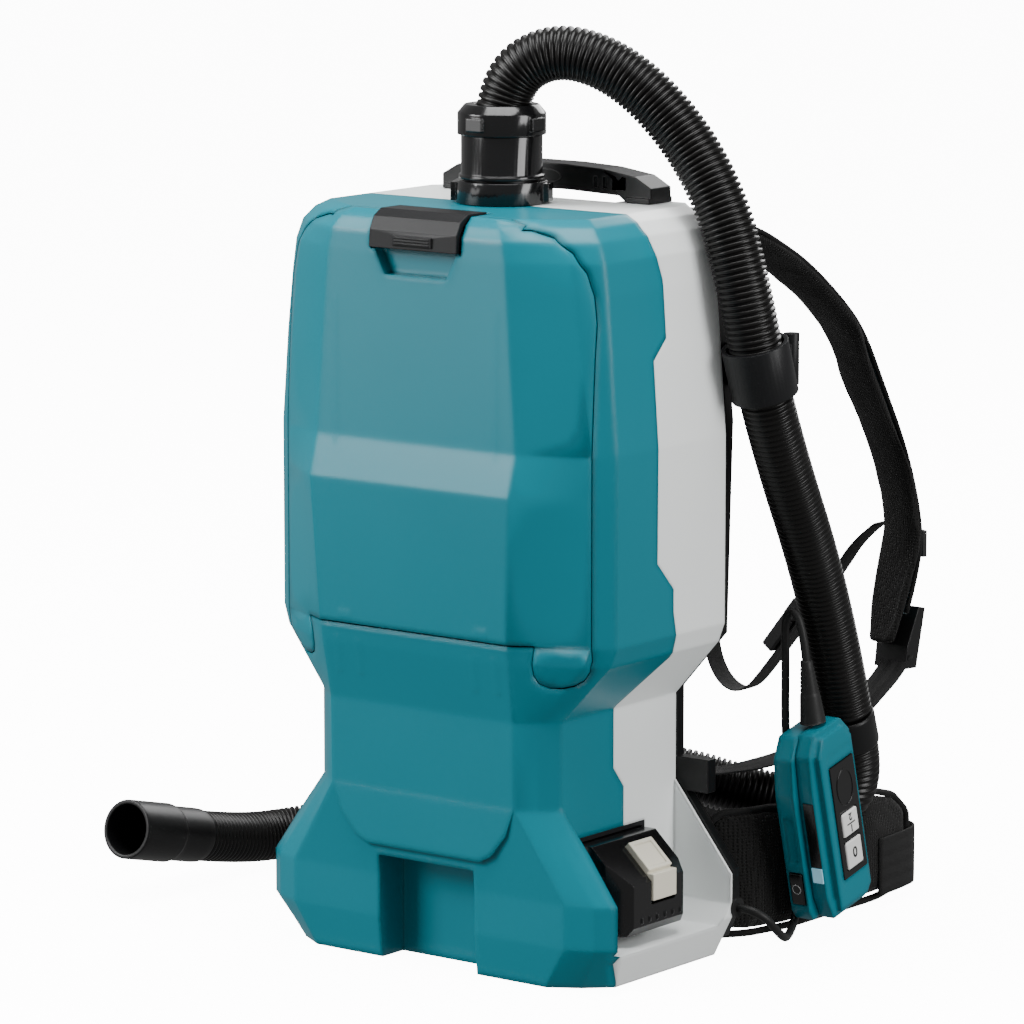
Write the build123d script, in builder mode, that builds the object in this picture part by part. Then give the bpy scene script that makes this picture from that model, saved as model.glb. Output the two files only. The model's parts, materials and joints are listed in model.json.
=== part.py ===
from build123d import *
import math
import os

# Backpack vacuum cleaner. Millimetres. X to the wearer's right as seen from the teal side,
# -Y the teal side with the lid, +Y the harness side, Z up, floor at Z = 0.

os.makedirs("parts", exist_ok=True)

# ---------------------------------------------------------------- driving dimensions
WALL = 3.0                      # moulded case wall
CASE_TOP = 530.0
BASE_THICKNESS = 4.0
REAR_FACE = 61.0                # flat back of the white shell
FIT_GAP = 0.4                   # air between separate bodies

# Case stations: z, front y, flat half width, knee (x, y), side (x, y), rear chamfer x
CASE_STATIONS = [
    (0.4, -99.0, 102.0, (123.0, -86.0), (140.0, -70.0), 126.0),
    (30.0, -102.0, 120.0, (140.0, -94.0), (155.0, -82.0), 141.0),
    (61.0, -102.0, 120.0, (140.0, -94.0), (155.0, -82.0), 141.0),
    (123.0, -107.0, 80.6, (94.0, -97.0), (105.5, -86.0), 92.0),
    (185.0, -108.0, 80.6, (94.0, -97.0), (105.5, -86.0), 92.0),
    (226.0, -115.0, 82.0, (128.0, -92.0), (142.0, -80.0), 128.0),
    (239.4, -116.6, 82.0, (133.0, -90.0), (147.0, -79.0), 133.0),
    (240.9, -118.0, 82.0, (133.0, -90.0), (147.0, -79.0), 133.0),
    (343.0, -122.0, 87.0, (133.0, -90.0), (147.0, -79.0), 133.0),
    (372.0, -114.0, 87.0, (133.0, -90.0), (147.0, -79.0), 133.0),
    (436.0, -113.6, 82.0, (127.0, -92.0), (142.0, -79.0), 128.0),
    (480.0, -113.2, 79.0, (122.0, -93.0), (138.0, -78.0), 124.0),
    (502.0, -113.0, 77.0, (118.0, -93.0), (135.0, -77.5), 120.0),
    (516.0, -112.0, 74.0, (110.5, -92.0), (130.0, -76.0), 116.0),
    (525.0, -107.0, 69.0, (101.0, -88.0), (122.0, -72.0), 109.0),
    (530.0, -101.0, 62.0, (90.0, -83.0), (113.0, -66.0), 102.0),
]
REAR_CORNER = 13.0              # depth of the rear corner chamfer
FRONT_PANEL = [(x, -107.2, z) for x, z in
               ((-80, 123), (-73, 104), (-60, 88), (-50, 83), (50, 83), (60, 88), (73, 104), (80, 123))]

RECESS_HALF_WIDTH = 42.0        # space between the two feet
RECESS_BACK = -76.0
RECESS_TOP = 75.0

SCOOP_HALF_WIDTH = 62.0         # finger room under the carry handle, open to the back
SCOOP_FRONT, SCOOP_FLOOR = 33.0, 511.0

COVER_WALL = 2.6
COVER_GAP = 0.8
HINGE_Y, HINGE_Z = -105.0, 224.0
HINGE_ARM_X = (-60.0, 60.0)
HINGE_PIN_R = 2.0

LATCH_HALF_WIDTH = 38.0
LATCH_PIN_Y, LATCH_PIN_Z = -86.0, 523.0
LATCH_PIN_R = 2.0

INLET_Y = -16.0
INLET_BORE_R = 22.0
INLET_TUBE_R = 26.0
HOSE_R = 19.0

BAY_FRONT, BAY_REAR = -84.0, 46.0
BAY_FLOOR, BAY_TOP = 26.0, 150.0
BAY_INNER_X = 105.5
BATTERY_Y = (-68.0, 7.0)
BATTERY_Z = (34.0, 96.0)
BATTERY_X = (34.0, 146.0)

MOTOR_Y = -22.0
BELT_HEIGHT = (5.0, 66.0)
CABLE_R = 3.0


# ---------------------------------------------------------------- shared helpers
def block(x, y, z, mode=Mode.ADD):
    """Axis-aligned block between three (low, high) pairs."""
    with Locations(((x[0] + x[1]) / 2, (y[0] + y[1]) / 2, (z[0] + z[1]) / 2)):
        Box(x[1] - x[0], y[1] - y[0], z[1] - z[0], mode=mode)


def prism(points, push, mode=Mode.ADD):
    """Flat outline through 3-D points, pushed along one vector."""
    face = Face(Wire.make_polygon([Vector(*p) for p in points]))
    add(Solid.extrude(face, Vector(*push)), mode=mode)


def prism_xz(outline, y, mode=Mode.ADD):
    """Outline in X and Z, pushed from y[0] to y[1]."""
    prism([(x, y[0], z) for x, z in outline], (0, y[1] - y[0], 0), mode)


def prism_yz(outline, x, mode=Mode.ADD):
    """Outline in Y and Z, pushed from x[0] to x[1]."""
    prism([(x[0], y, z) for y, z in outline], (x[1] - x[0], 0, 0), mode)


def prism_xy(outline, z, mode=Mode.ADD):
    """Outline in X and Y, pushed from z[0] to z[1]."""
    prism([(x, y, z[0]) for x, y in outline], (0, 0, z[1] - z[0]), mode)


def rod(start, axis, radius, length, mode=Mode.ADD):
    """Cylinder from a start point along a direction."""
    add(Solid.make_cylinder(radius, length, Plane(origin=start, z_dir=axis)), mode=mode)


def mirrored(outline):
    """Close a right-hand outline with its mirror image about the middle."""
    return outline + [(-x, second) for x, second in reversed(outline)]


def arc_points(centre, radius, start_deg, end_deg, steps):
    """Points on a circle, for the rounded parts of an outline."""
    angles = [math.radians(start_deg + (end_deg - start_deg) * i / steps) for i in range(steps + 1)]
    return [(centre[0] + radius * math.cos(a), centre[1] + radius * math.sin(a)) for a in angles]


def ribbon(path, thickness):
    """Closed outline of a band that follows a path, half its thickness to each side."""
    left, right = [], []
    for i, (a, b) in enumerate(path):
        a0, b0 = path[max(i - 1, 0)]
        a1, b1 = path[min(i + 1, len(path) - 1)]
        length = math.hypot(a1 - a0, b1 - b0)
        na, nb = -(b1 - b0) / length, (a1 - a0) / length
        left.append((a + na * thickness / 2, b + nb * thickness / 2))
        right.append((a - na * thickness / 2, b - nb * thickness / 2))
    return left + right[::-1]


def bend_radii(points):
    """Largest bend at each corner that leaves a short straight between two bends."""
    radii = []
    for before, here, after in zip(points, points[1:], points[2:]):
        first = Vector(*here) - Vector(*before)
        second = Vector(*after) - Vector(*here)
        turn = math.radians(first.get_angle(second))
        radii.append(0.45 * min(first.length, second.length) / math.tan(turn / 2))
    return radii


def cord(name, points, radius):
    """Round cord along a route of straights and bends; prints its length and bends."""
    radii = bend_radii(points)
    with BuildPart() as tube:
        with BuildLine() as route:
            FilletPolyline(*points, radius=radii)
        with BuildSketch(Plane(origin=route.line @ 0, z_dir=route.line % 0)):
            Circle(radius)
        sweep()
    length = sum(edge.length for edge in route.edges())
    expected = math.pi * radius ** 2 * length
    print(f"{name}: length {length:.0f} mm, bends {[round(r) for r in radii]}, "
          f"volume / (section x length) {tube.part.volume / expected:.4f}")
    return tube.part


def save(part, name):
    """Write one sub-part under its own name."""
    part.label = name
    export_step(part, f"parts/{name}.step")


def mirror_x(part):
    """The left-hand twin of a right-hand part."""
    return mirror(part, about=Plane.YZ, mode=Mode.PRIVATE)


# ---------------------------------------------------------------- case master shapes
def case_outline(station, inset):
    """Plan outline of the case at one station, moved inwards by the wall."""
    z, front, flat, knee, side, rear_x = station
    right = [
        (flat - inset * 0.3, front + inset),
        (knee[0] - inset * 0.6, knee[1] + inset * 0.8),
        (side[0] - inset, side[1] + inset * 0.4),
        (side[0] - inset, REAR_FACE - REAR_CORNER - inset * 0.4),
        (rear_x - inset * 0.4, REAR_FACE - inset),
    ]
    return mirrored(right)


with BuildPart() as outer:
    for station in CASE_STATIONS:
        with BuildSketch(Plane.XY.offset(station[0])):
            Polygon(*case_outline(station, 0), align=None)
    loft(ruled=True)
    # The front panel runs down between the feet and stands proud of them.
    prism(FRONT_PANEL, (0, 12, 0))

with BuildPart() as inner:
    for index, station in enumerate(CASE_STATIONS):
        height = station[0]
        if index == 0:
            height = BASE_THICKNESS + WALL
        if index == len(CASE_STATIONS) - 1:
            height = CASE_TOP - WALL
        elif station[0] > 510:
            height = station[0] - WALL * 0.8
        with BuildSketch(Plane.XY.offset(height)):
            Polygon(*case_outline(station, WALL), align=None)
    loft(ruled=True)
    # Solid stock is left here for the walls of the foot recess, the bays and the handle scoop.
    block((-RECESS_HALF_WIDTH - WALL, RECESS_HALF_WIDTH + WALL),
          (-130, RECESS_BACK + WALL), (0, RECESS_TOP + WALL), Mode.SUBTRACT)
    for side in (-1, 1):
        near, far = sorted((side * (BAY_INNER_X - WALL), side * 170))
        block((near, far), (BAY_FRONT - WALL, BAY_REAR + WALL), (0, BAY_TOP), Mode.SUBTRACT)
    block((-SCOOP_HALF_WIDTH - WALL, SCOOP_HALF_WIDTH + WALL), (SCOOP_FRONT - WALL, 70),
          (SCOOP_FLOOR - WALL, 560), Mode.SUBTRACT)

GRILLE_X, GRILLE_Y = (-30.0, 30.0), (14.0, 38.0)
RECESS_RIM = (-RECESS_HALF_WIDTH - WALL, RECESS_HALF_WIDTH + WALL)

SOCKET_Y = (BATTERY_Y[0] - 4.0, BATTERY_Y[1] + 4.0)
SOCKET_Z = (BATTERY_Z[0] - 4.0, BATTERY_Z[1] + 4.0)

with BuildPart() as shell:
    add(outer.part)
    add(inner.part, mode=Mode.SUBTRACT)
    # Recess between the feet.
    block((-RECESS_HALF_WIDTH, RECESS_HALF_WIDTH), (-130, RECESS_BACK), (0, RECESS_TOP),
          Mode.SUBTRACT)
    # Battery bays, open to the side and through the shoulder of each foot.
    for side in (-1, 1):
        near, far = sorted((side * BAY_INNER_X, side * 170))
        prism_yz([(BAY_FRONT, BAY_FLOOR), (BAY_REAR - 12, BAY_FLOOR), (BAY_REAR, BAY_FLOOR + 14),
                  (BAY_REAR, BAY_TOP), (BAY_FRONT, BAY_TOP)], (near, far), Mode.SUBTRACT)
        near, far = sorted((side * (BAY_INNER_X - WALL - 1), side * (BAY_INNER_X + 1)))
        block((near, far), SOCKET_Y, SOCKET_Z, Mode.SUBTRACT)
    block((-SCOOP_HALF_WIDTH, SCOOP_HALF_WIDTH), (SCOOP_FRONT, 70), (SCOOP_FLOOR, 560),
          Mode.SUBTRACT)
    # Inlet hole in the roof, exhaust hole in the floor.
    rod((0, INLET_Y, 500), (0, 0, 1), INLET_TUBE_R, 60, Mode.SUBTRACT)
    block(GRILLE_X, GRILLE_Y, (-1, 12), Mode.SUBTRACT)
    # The base plate sits in a pocket, level with the rim of the shell.
    with BuildPart(mode=Mode.PRIVATE) as base_pocket:
        prism_xy(case_outline(CASE_STATIONS[0], WALL), (-1, BASE_THICKNESS + 0.2))
        block(RECESS_RIM, (-130, RECESS_BACK + WALL), (-2, 8), Mode.SUBTRACT)
    add(base_pocket.part, mode=Mode.SUBTRACT)

# Colour seam seen from the side: y of the teal edge at each height.
SEAM = [(-23, 560), (-23, 520), (-14, 486), (-15, 446), (-31, 432), (-32, 292), (-13, 272),
        (-13, 256), (-6, 222), (-26, 188), (-26, 143), (-14, 128), (-14, 98), (-81, 97), (-81, 20),
        (-66, -5)]

with BuildPart() as front_zone:
    prism_yz(SEAM + [(-160, -5), (-160, 560)], (-200, 200))
    block((-RECESS_HALF_WIDTH - WALL, RECESS_HALF_WIDTH + WALL), (-160, -58),
          (-5, RECESS_TOP + WALL))


LID_ROOF_HALF_WIDTH, LID_ROOF_Y = 82.0, -96.0   # the lid turns over the roof edge


def cover_outline(grow):
    """Lid outline in X and Z. It wraps round the top of the lower panel on both sides."""
    right = [(0, 240.9 - grow * 1.6), (99.0 - grow, 240.9 - grow * 1.6),
             (96.8 - grow, 228), (97.2 - grow, 219.5), (99.6 - grow * 0.9, 214.2 - grow * 0.7),
             (105.0, 211.6 - grow * 1.3), (112.5, 211.4 - grow * 1.4),
             (120.0, 213.4 - grow * 1.3), (126.5, 217.6 - grow * 1.1),
             (131.0 + grow * 0.6, 224.0 - grow * 0.5), (133.0 + grow, 232.0),
             (133.0 + grow, 462.0), (131.0 + grow, 480.0),
             (126.0 + grow * 0.8, 496.0 + grow * 0.5), (117.0 + grow * 0.7, 509.0 + grow * 0.7),
             (104.0, 518.5 + grow), (88.0, 523.0 + grow), (0, 523.0 + grow)]
    return right + [(-x, z) for x, z in reversed(right[1:-1])]


# ---------------------------------------------------------------- case shells
with BuildPart() as front_housing:
    add(shell.part)
    add(front_zone.part, mode=Mode.INTERSECT)
    prism_xz(cover_outline(COVER_GAP), (-160, -60), Mode.SUBTRACT)
    block((-LID_ROOF_HALF_WIDTH - COVER_GAP, LID_ROOF_HALF_WIDTH + COVER_GAP),
          (-160, LID_ROOF_Y + COVER_GAP), (520, 560), Mode.SUBTRACT)
    block((-LATCH_HALF_WIDTH - 1, LATCH_HALF_WIDTH + 1), (-160, -76), (500, 560), Mode.SUBTRACT)
    # Lugs either side of each hinge arm.
    for x in HINGE_ARM_X:
        for side in (-1, 1):
            near, far = sorted((x + side * 7.0, x + side * 12.0))
            prism_yz([(-111.5, 204), (-98, 214), (-98, 231), (-112.4, 231)], (near, far))
            rod((near, HINGE_Y, HINGE_Z), (1, 0, 0), HINGE_PIN_R, 5, Mode.SUBTRACT)
    # Lugs for the latch pin, on the roof edge.
    for side in (-1, 1):
        near, far = sorted((side * (LATCH_HALF_WIDTH + 1), side * (LATCH_HALF_WIDTH + 6)))
        block((near, far), (-94, -76), (516, 527.5))
        rod((near, LATCH_PIN_Y, LATCH_PIN_Z), (1, 0, 0), LATCH_PIN_R, 5, Mode.SUBTRACT)
save(front_housing.part, "front_housing")

SCREW_SPOTS = [(-118, -60), (118, -60), (-118, 20), (118, 20), (-40, 48), (40, 48)]
SCREW_R = 1.6

with BuildPart() as rear_housing:
    add(shell.part)
    add(front_zone.part, mode=Mode.SUBTRACT)
    for x, y in SCREW_SPOTS:
        rod((x, y, BASE_THICKNESS + 0.2), (0, 0, 1), 4.5, 20)
        rod((x, y, BASE_THICKNESS), (0, 0, 1), SCREW_R, 14, Mode.SUBTRACT)
    # Cable hole in the right rear rim.
    rod((141, 53, 36), (1, 0, 0), 5.0, 20, Mode.SUBTRACT)
save(rear_housing.part, "rear_housing")

with BuildPart() as base_plate:
    prism_xy(case_outline(CASE_STATIONS[0], WALL + FIT_GAP), (0, BASE_THICKNESS))
    block((RECESS_RIM[0] - FIT_GAP, RECESS_RIM[1] + FIT_GAP),
          (-130, RECESS_BACK + WALL + FIT_GAP), (-1, 5), Mode.SUBTRACT)
    block(GRILLE_X, GRILLE_Y, (-1, 5), Mode.SUBTRACT)
    for x, y in SCREW_SPOTS:
        rod((x, y, -1), (0, 0, 1), 3.6, 3.5, Mode.SUBTRACT)
        rod((x, y, 2), (0, 0, 1), SCREW_R, 3, Mode.SUBTRACT)
save(base_plate.part, "base_plate")

with BuildPart() as case_screws:
    for x, y in SCREW_SPOTS:
        rod((x, y, 0.6), (0, 0, 1), 3.5, 1.9)
        rod((x, y, 2.5), (0, 0, 1), SCREW_R - 0.05, 14)
save(case_screws.part, "case_screws")

with BuildPart() as exhaust_grille:
    block((GRILLE_X[0] + 0.3, GRILLE_X[1] - 0.3), (GRILLE_Y[0] + 0.3, GRILLE_Y[1] - 0.3), (1, 4))
    for i in range(9):
        x = GRILLE_X[0] + 6 + i * 6
        block((x - 1.5, x + 1.5), (GRILLE_Y[0] + 4, GRILLE_Y[1] - 4), (0, 5), Mode.SUBTRACT)
save(exhaust_grille.part, "exhaust_grille")

# ---------------------------------------------------------------- lid
with BuildPart() as cover_skin:
    add(outer.part)
    with BuildPart(mode=Mode.PRIVATE) as cover_core:
        for station in CASE_STATIONS:
            height = station[0] - (COVER_WALL if station[0] > 525 else 0)
            with BuildSketch(Plane.XY.offset(height)):
                Polygon(*case_outline(station, COVER_WALL), align=None)
        loft(ruled=True)
    add(cover_core.part, mode=Mode.SUBTRACT)
    # The lid's face, and the strip of it that turns over the roof edge.
    with BuildPart(mode=Mode.PRIVATE) as lid_zone:
        prism_xz(cover_outline(0), (-160, -70))
        block((-LID_ROOF_HALF_WIDTH, LID_ROOF_HALF_WIDTH), (-160, LID_ROOF_Y), (520, 560))
    add(lid_zone.part, mode=Mode.INTERSECT)

WINDOW = [(-27, 487), (27, 487), (36, 505), (-36, 505)]

with BuildPart() as cover:
    add(cover_skin.part)
    # Opening for the latch lever, and the finger recess under it.
    block((-LATCH_HALF_WIDTH - 1.5, LATCH_HALF_WIDTH + 1.5), (-160, -60), (504, 560), Mode.SUBTRACT)
    prism_xz([(-30, 484.5), (30, 484.5), (39.5, 504), (-39.5, 504)], (-111, -102.5))
    prism_xz(WINDOW, (-160, -105), Mode.SUBTRACT)
    # Stiffening ribs behind the skin.
    for x in (-70, 70):
        block((x - 1.2, x + 1.2), (-112, -104), (262, 470))
    # Goose-neck hinge arms: round the edge of the lower panel and back to the pin.
    for x in HINGE_ARM_X:
        neck = arc_points((HINGE_Y, HINGE_Z), 27.5, 117, 35, 8)
        neck += arc_points((HINGE_Y, HINGE_Z), 20.9, 35, 117, 8)
        prism_yz(neck, (x - 6, x + 6))
        prism_yz([(HINGE_Y - 3.8, HINGE_Z), (HINGE_Y, HINGE_Z - 3.8), (HINGE_Y + 22.5, HINGE_Z + 13),
                  (HINGE_Y + 19, HINGE_Z + 19)], (x - 6, x + 6))
        rod((x - 6, HINGE_Y, HINGE_Z), (1, 0, 0), 5.0, 12)
        rod((x - 6, HINGE_Y, HINGE_Z), (1, 0, 0), HINGE_PIN_R + 0.06, 12, Mode.SUBTRACT)
save(cover.part, "cover")

# ---------------------------------------------------------------- lid latch
LEVER_OUTER = [(-82, 531.5), (-103, 531.5), (-111, 527.0), (-115.6, 518), (-116.4, 505.6)]
LEVER_INNER = [(-112.4, 505.6), (-111.2, 517), (-108, 523.5), (-101, 527.6), (-93, 527.6)]

with BuildPart() as latch_lever:
    hub = arc_points((LATCH_PIN_Y, LATCH_PIN_Z), 5.6, 140, 400, 12)
    prism_yz(LEVER_OUTER + LEVER_INNER, (-LATCH_HALF_WIDTH, LATCH_HALF_WIDTH))
    prism_yz([(-82, 531.5), (-93, 531.5), (-93, 524)] + hub, (-LATCH_HALF_WIDTH, LATCH_HALF_WIDTH))
    # Detent nose over the catch rib.
    block((-12, 12), (-113, -107.5), (507.5, 510.5))
    # Raised grip with ribs, and room for the spring.
    block((-17, 17), (-117.4, -115.2), (508, 515))
    for z in (509.5, 511.5, 513.5):
        block((-15, 15), (-118.0, -117.0), (z - 0.4, z + 0.4))
    block((-9, 9), (-95, -75), (510, 529.3), Mode.SUBTRACT)
    rod((-60, LATCH_PIN_Y, LATCH_PIN_Z), (1, 0, 0), LATCH_PIN_R + 0.06, 120, Mode.SUBTRACT)
save(latch_lever.part, "latch_lever")

with BuildPart() as lid_pins:
    rod((-LATCH_HALF_WIDTH - 6, LATCH_PIN_Y, LATCH_PIN_Z), (1, 0, 0), LATCH_PIN_R,
        2 * LATCH_HALF_WIDTH + 12)
    for x in HINGE_ARM_X:
        rod((x - 12, HINGE_Y, HINGE_Z), (1, 0, 0), HINGE_PIN_R, 24)
save(lid_pins.part, "lid_pins")

with BuildPart() as latch_spring:
    for turn in range(6):
        rod((-7.5 + turn * 2.5, LATCH_PIN_Y, LATCH_PIN_Z), (1, 0, 0), 3.9, 1.6)
    rod((-7.5, LATCH_PIN_Y, LATCH_PIN_Z), (1, 0, 0), 3.2, 14)
    rod((-8, LATCH_PIN_Y, LATCH_PIN_Z), (1, 0, 0), LATCH_PIN_R + 0.05, 16, Mode.SUBTRACT)
save(latch_spring.part, "latch_spring")

# ---------------------------------------------------------------- dust side, behind the lid
with BuildPart() as dust_chamber:
    block((-112, 112), (-86, 22), (262, 484))
    block((-109.5, 109.5), (-90, 19.5), (264.5, 481.5), Mode.SUBTRACT)
    block((-76, 76), (15, 30), (270, 470), Mode.SUBTRACT)
    rod((0, INLET_Y, 470), (0, 0, 1), 26.5, 30, Mode.SUBTRACT)
save(dust_chamber.part, "dust_chamber")

with BuildPart() as chamber_gasket:
    block((-112, 112), (-90, -86.2), (262, 484))
    block((-107, 107), (-95, -80), (267, 479), Mode.SUBTRACT)
save(chamber_gasket.part, "chamber_gasket")

with BuildPart() as dust_bag:
    prism_yz([(-76, 276), (8, 276), (12, 300), (12, 440), (0, 466), (-60, 466), (-80, 440),
              (-80, 300)], (-96, 96))
save(dust_bag.part, "dust_bag")

with BuildPart() as filter_frame:
    block((-90, 90), (22.3, 52), (256, 484))
    block((-80, 80), (20, 55), (266, 474), Mode.SUBTRACT)
save(filter_frame.part, "filter_frame")

with BuildPart() as hepa_filter:
    pleats = 26
    step = 159.0 / pleats
    near = [(-79.5 + i * step, 25 if i % 2 else 45) for i in range(pleats + 1)]
    far = [(x, y + 4) for x, y in reversed(near)]
    prism_xy(near + far, (266.2, 473.8))
save(hepa_filter.part, "hepa_filter")

# ---------------------------------------------------------------- motor and fan
with BuildPart() as motor_housing:
    rod((0, MOTOR_Y, 118), (0, 0, 1), 66, 100)
    rod((0, MOTOR_Y, 178), (0, 0, 1), 63, 60, Mode.SUBTRACT)
    rod((0, MOTOR_Y, 121), (0, 0, 1), 40, 60, Mode.SUBTRACT)
    rod((0, MOTOR_Y, 100), (0, 0, 1), 4.06, 40, Mode.SUBTRACT)
    for i in range(6):
        angle = math.radians(60 * i)
        rod((50 * math.cos(angle), MOTOR_Y + 50 * math.sin(angle), 110), (0, 0, 1), 7, 90,
            Mode.SUBTRACT)
    # Shroud over the fan, with its inlet eye.
    rod((0, MOTOR_Y, 206), (0, 0, 1), 63, 4)
    rod((0, MOTOR_Y, 200), (0, 0, 1), 30, 30, Mode.SUBTRACT)
save(motor_housing.part, "motor_housing")

with BuildPart() as stator:
    rod((0, MOTOR_Y, 126), (0, 0, 1), 39.8, 34)
    rod((0, MOTOR_Y, 120), (0, 0, 1), 22, 50, Mode.SUBTRACT)
    for i in range(12):
        angle = math.radians(30 * i)
        rod((31 * math.cos(angle), MOTOR_Y + 31 * math.sin(angle), 120), (0, 0, 1), 4, 50,
            Mode.SUBTRACT)
save(stator.part, "stator")

with BuildPart() as rotor:
    rod((0, MOTOR_Y, 112), (0, 0, 1), 4, 92)
    rod((0, MOTOR_Y, 128), (0, 0, 1), 21, 30)
save(rotor.part, "rotor")

with BuildPart() as impeller:
    rod((0, MOTOR_Y, 182), (0, 0, 1), 60, 2.5)
    rod((0, MOTOR_Y, 182), (0, 0, 1), 10, 18)
    for i in range(9):
        angle = math.radians(40 * i)
        with Locations(Location((34 * math.cos(angle), MOTOR_Y + 34 * math.sin(angle), 190),
                                (0, 0, math.degrees(angle) + 32))):
            Box(40, 2.0, 12)
    rod((0, MOTOR_Y, 170), (0, 0, 1), 4, 50, Mode.SUBTRACT)
save(impeller.part, "impeller")

with BuildPart() as motor_mounts:
    for z in (128, 200):
        rod((0, MOTOR_Y, z), (0, 0, 1), 72, 8)
        rod((0, MOTOR_Y, z - 2), (0, 0, 1), 66.2, 12, Mode.SUBTRACT)
save(motor_mounts.part, "motor_mounts")

with BuildPart() as control_board:
    block((-26, 26), (24, 25.6), (20, 100))
    block((-20, -4), (17, 24), (30, 44))
    block((4, 18), (15, 24), (60, 82))
    block((-18, -8), (18, 24), (62, 78))
save(control_board.part, "control_board")


# ---------------------------------------------------------------- batteries
def make_socket():
    """Tunnel that takes one battery from the right, with its two guide rails."""
    with BuildPart() as socket:
        block((28, BAY_INNER_X), (SOCKET_Y[0] + 0.2, SOCKET_Y[1] - 0.2),
              (SOCKET_Z[0] + 0.2, SOCKET_Z[1] - 0.2))
        block((31.5, 120), (BATTERY_Y[0] - 0.7, BATTERY_Y[1] + 0.7),
              (BATTERY_Z[0] - 0.7, BATTERY_Z[1] + 0.7), Mode.SUBTRACT)
        for y in (-55, -6):
            block((31.5, 100), (y - 2, y + 2), (92.4, BATTERY_Z[1] + 1))
        # Contact blades at the bottom of the tunnel.
        for y in (-44, -31, -18):
            block((31.4, 46), (y - 0.5, y + 0.5), (84, 92))
    return socket.part


def make_battery():
    """Sliding battery pack: bevelled nose, ribbed corner, rail grooves, terminal slots."""
    low_y, high_y = BATTERY_Y
    with BuildPart() as battery:
        prism_xz([(34, 34), (142, 34), (146, 40), (146, 70), (118, 96), (34, 96)],
                 (low_y, high_y))
        prism_xy([(128, low_y - 1), (150, low_y - 1), (150, low_y + 14)], (30, 100), Mode.SUBTRACT)
        prism_xy([(136, high_y + 1), (150, high_y + 1), (150, high_y - 8)], (30, 100), Mode.SUBTRACT)
        for x in (120, 124, 128):
            block((x - 0.8, x + 0.8), (low_y - 0.5, low_y + 1), (40, 76))
        for y in (-55, -6):
            block((30, 101), (y - 2.6, y + 2.6), (91.8, 100), Mode.SUBTRACT)
        for y in (-44, -31, -18):
            block((30, 48), (y - 1, y + 1), (83, 93), Mode.SUBTRACT)
        for i in range(6):
            block((145.5, 146.8), (-48 + i * 9, -46 + i * 9), (42, 46))
        # Pocket for the release button, cut square to the bevel.
        with Locations(Location((132, -22, 83), (0, 42.9, 0))):
            Box(26, 28, 14, mode=Mode.SUBTRACT)
        block((138.5, 150), (-36, -8), (53.5, 78), Mode.SUBTRACT)
    return battery.part


def make_button():
    """Release button: plate on the bevel with a lip that turns down over the nose."""
    with BuildPart() as button:
        with Locations(Location((132, -22, 83), (0, 42.9, 0))):
            Box(25, 27, 8)
        block((141, 147.6), (-35.5, -8.5), (56, 75))
        with Locations(Location((134.6, -22, 85.7), (0, 42.9, 0))):
            Box(19, 20, 2.2, mode=Mode.SUBTRACT)
    return button.part


socket_right = make_socket()
with BuildPart() as battery_sockets:
    add(socket_right)
    add(mirror_x(socket_right))
save(battery_sockets.part, "battery_sockets")

battery_right = make_battery()
save(battery_right, "battery_right")
save(mirror_x(battery_right), "battery_left")
battery_button_right = make_button()
save(battery_button_right, "battery_button_right")
save(mirror_x(battery_button_right), "battery_button_left")

# ---------------------------------------------------------------- inlet on top
with BuildPart() as inlet_socket:
    rod((0, INLET_Y, 466), (0, 0, 1), 25.7, 81)
    rod((0, INLET_Y, 484.4), (0, 0, 1), 34, 3)
    rod((0, INLET_Y, 526.6), (0, 0, 1), 25.9, 4)
    rod((0, INLET_Y, 460), (0, 0, 1), INLET_BORE_R, 90, Mode.SUBTRACT)
save(inlet_socket.part, "inlet_socket")

with BuildPart() as lock_ring:
    rod((0, INLET_Y, 530.5), (0, 0, 1), 32, 15.5)
    for angle in (25, 205):
        a = math.radians(angle)
        with Locations(Location((32 * math.cos(a), INLET_Y + 32 * math.sin(a), 538), (0, 0, angle))):
            Box(6, 15, 13)
    rod((0, INLET_Y, 520), (0, 0, 1), 26.3, 40, Mode.SUBTRACT)
save(lock_ring.part, "lock_ring")

with BuildPart() as inlet_tube:
    rod((0, INLET_Y, 547.3), (0, 0, 1), 28.5, 30.7)
    rod((0, INLET_Y, 547.3), (0, 0, 1), 30, 3)
    rod((0, INLET_Y, 540), (0, 0, 1), HOSE_R - 2, 60, Mode.SUBTRACT)
save(inlet_tube.part, "inlet_tube")

with BuildPart() as hose_collar:
    rod((0, INLET_Y, 578), (0, 0, 1), 31, 15)
    add(Solid.make_cone(31, 26, 6, Plane(origin=(0, INLET_Y, 593))))
    rod((0, INLET_Y, 570), (0, 0, 1), HOSE_R + 0.3, 40, Mode.SUBTRACT)
    for angle in (0, 90, 180, 270):
        a = math.radians(angle)
        with Locations(Location((31 * math.cos(a), INLET_Y + 31 * math.sin(a), 586), (0, 0, angle))):
            Box(3, 14, 9)
save(hose_collar.part, "hose_collar")

# ---------------------------------------------------------------- hose
HOSE_ROUTE = [
    (0, -16, 578.3), (0, -16, 614), (32, 0, 639), (76, 19, 626), (116, 36, 585), (148, 42, 533),
    (164, 47, 470), (168, 62, 406), (167, 91, 345), (164, 131, 277), (162, 162, 208),
    (160, 182, 154),
]
HOSE_TAIL = [
    (159.2, 190, 132.4), (157.9, 203, 97.3), (130, 193, 78), (90, 158, 92), (45, 128, 108),
    (-20, 114, 105), (-85, 113, 95), (-140, 114, 90), (-190, 118, 66), (-240, 121, 34),
    (-284, 100, 22), (-301, 52, 22), (-301, 0, 34.4),
]
save(cord("hose_upper", HOSE_ROUTE, HOSE_R), "hose_upper")
save(cord("hose_tail", HOSE_TAIL, HOSE_R), "hose_tail")

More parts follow.
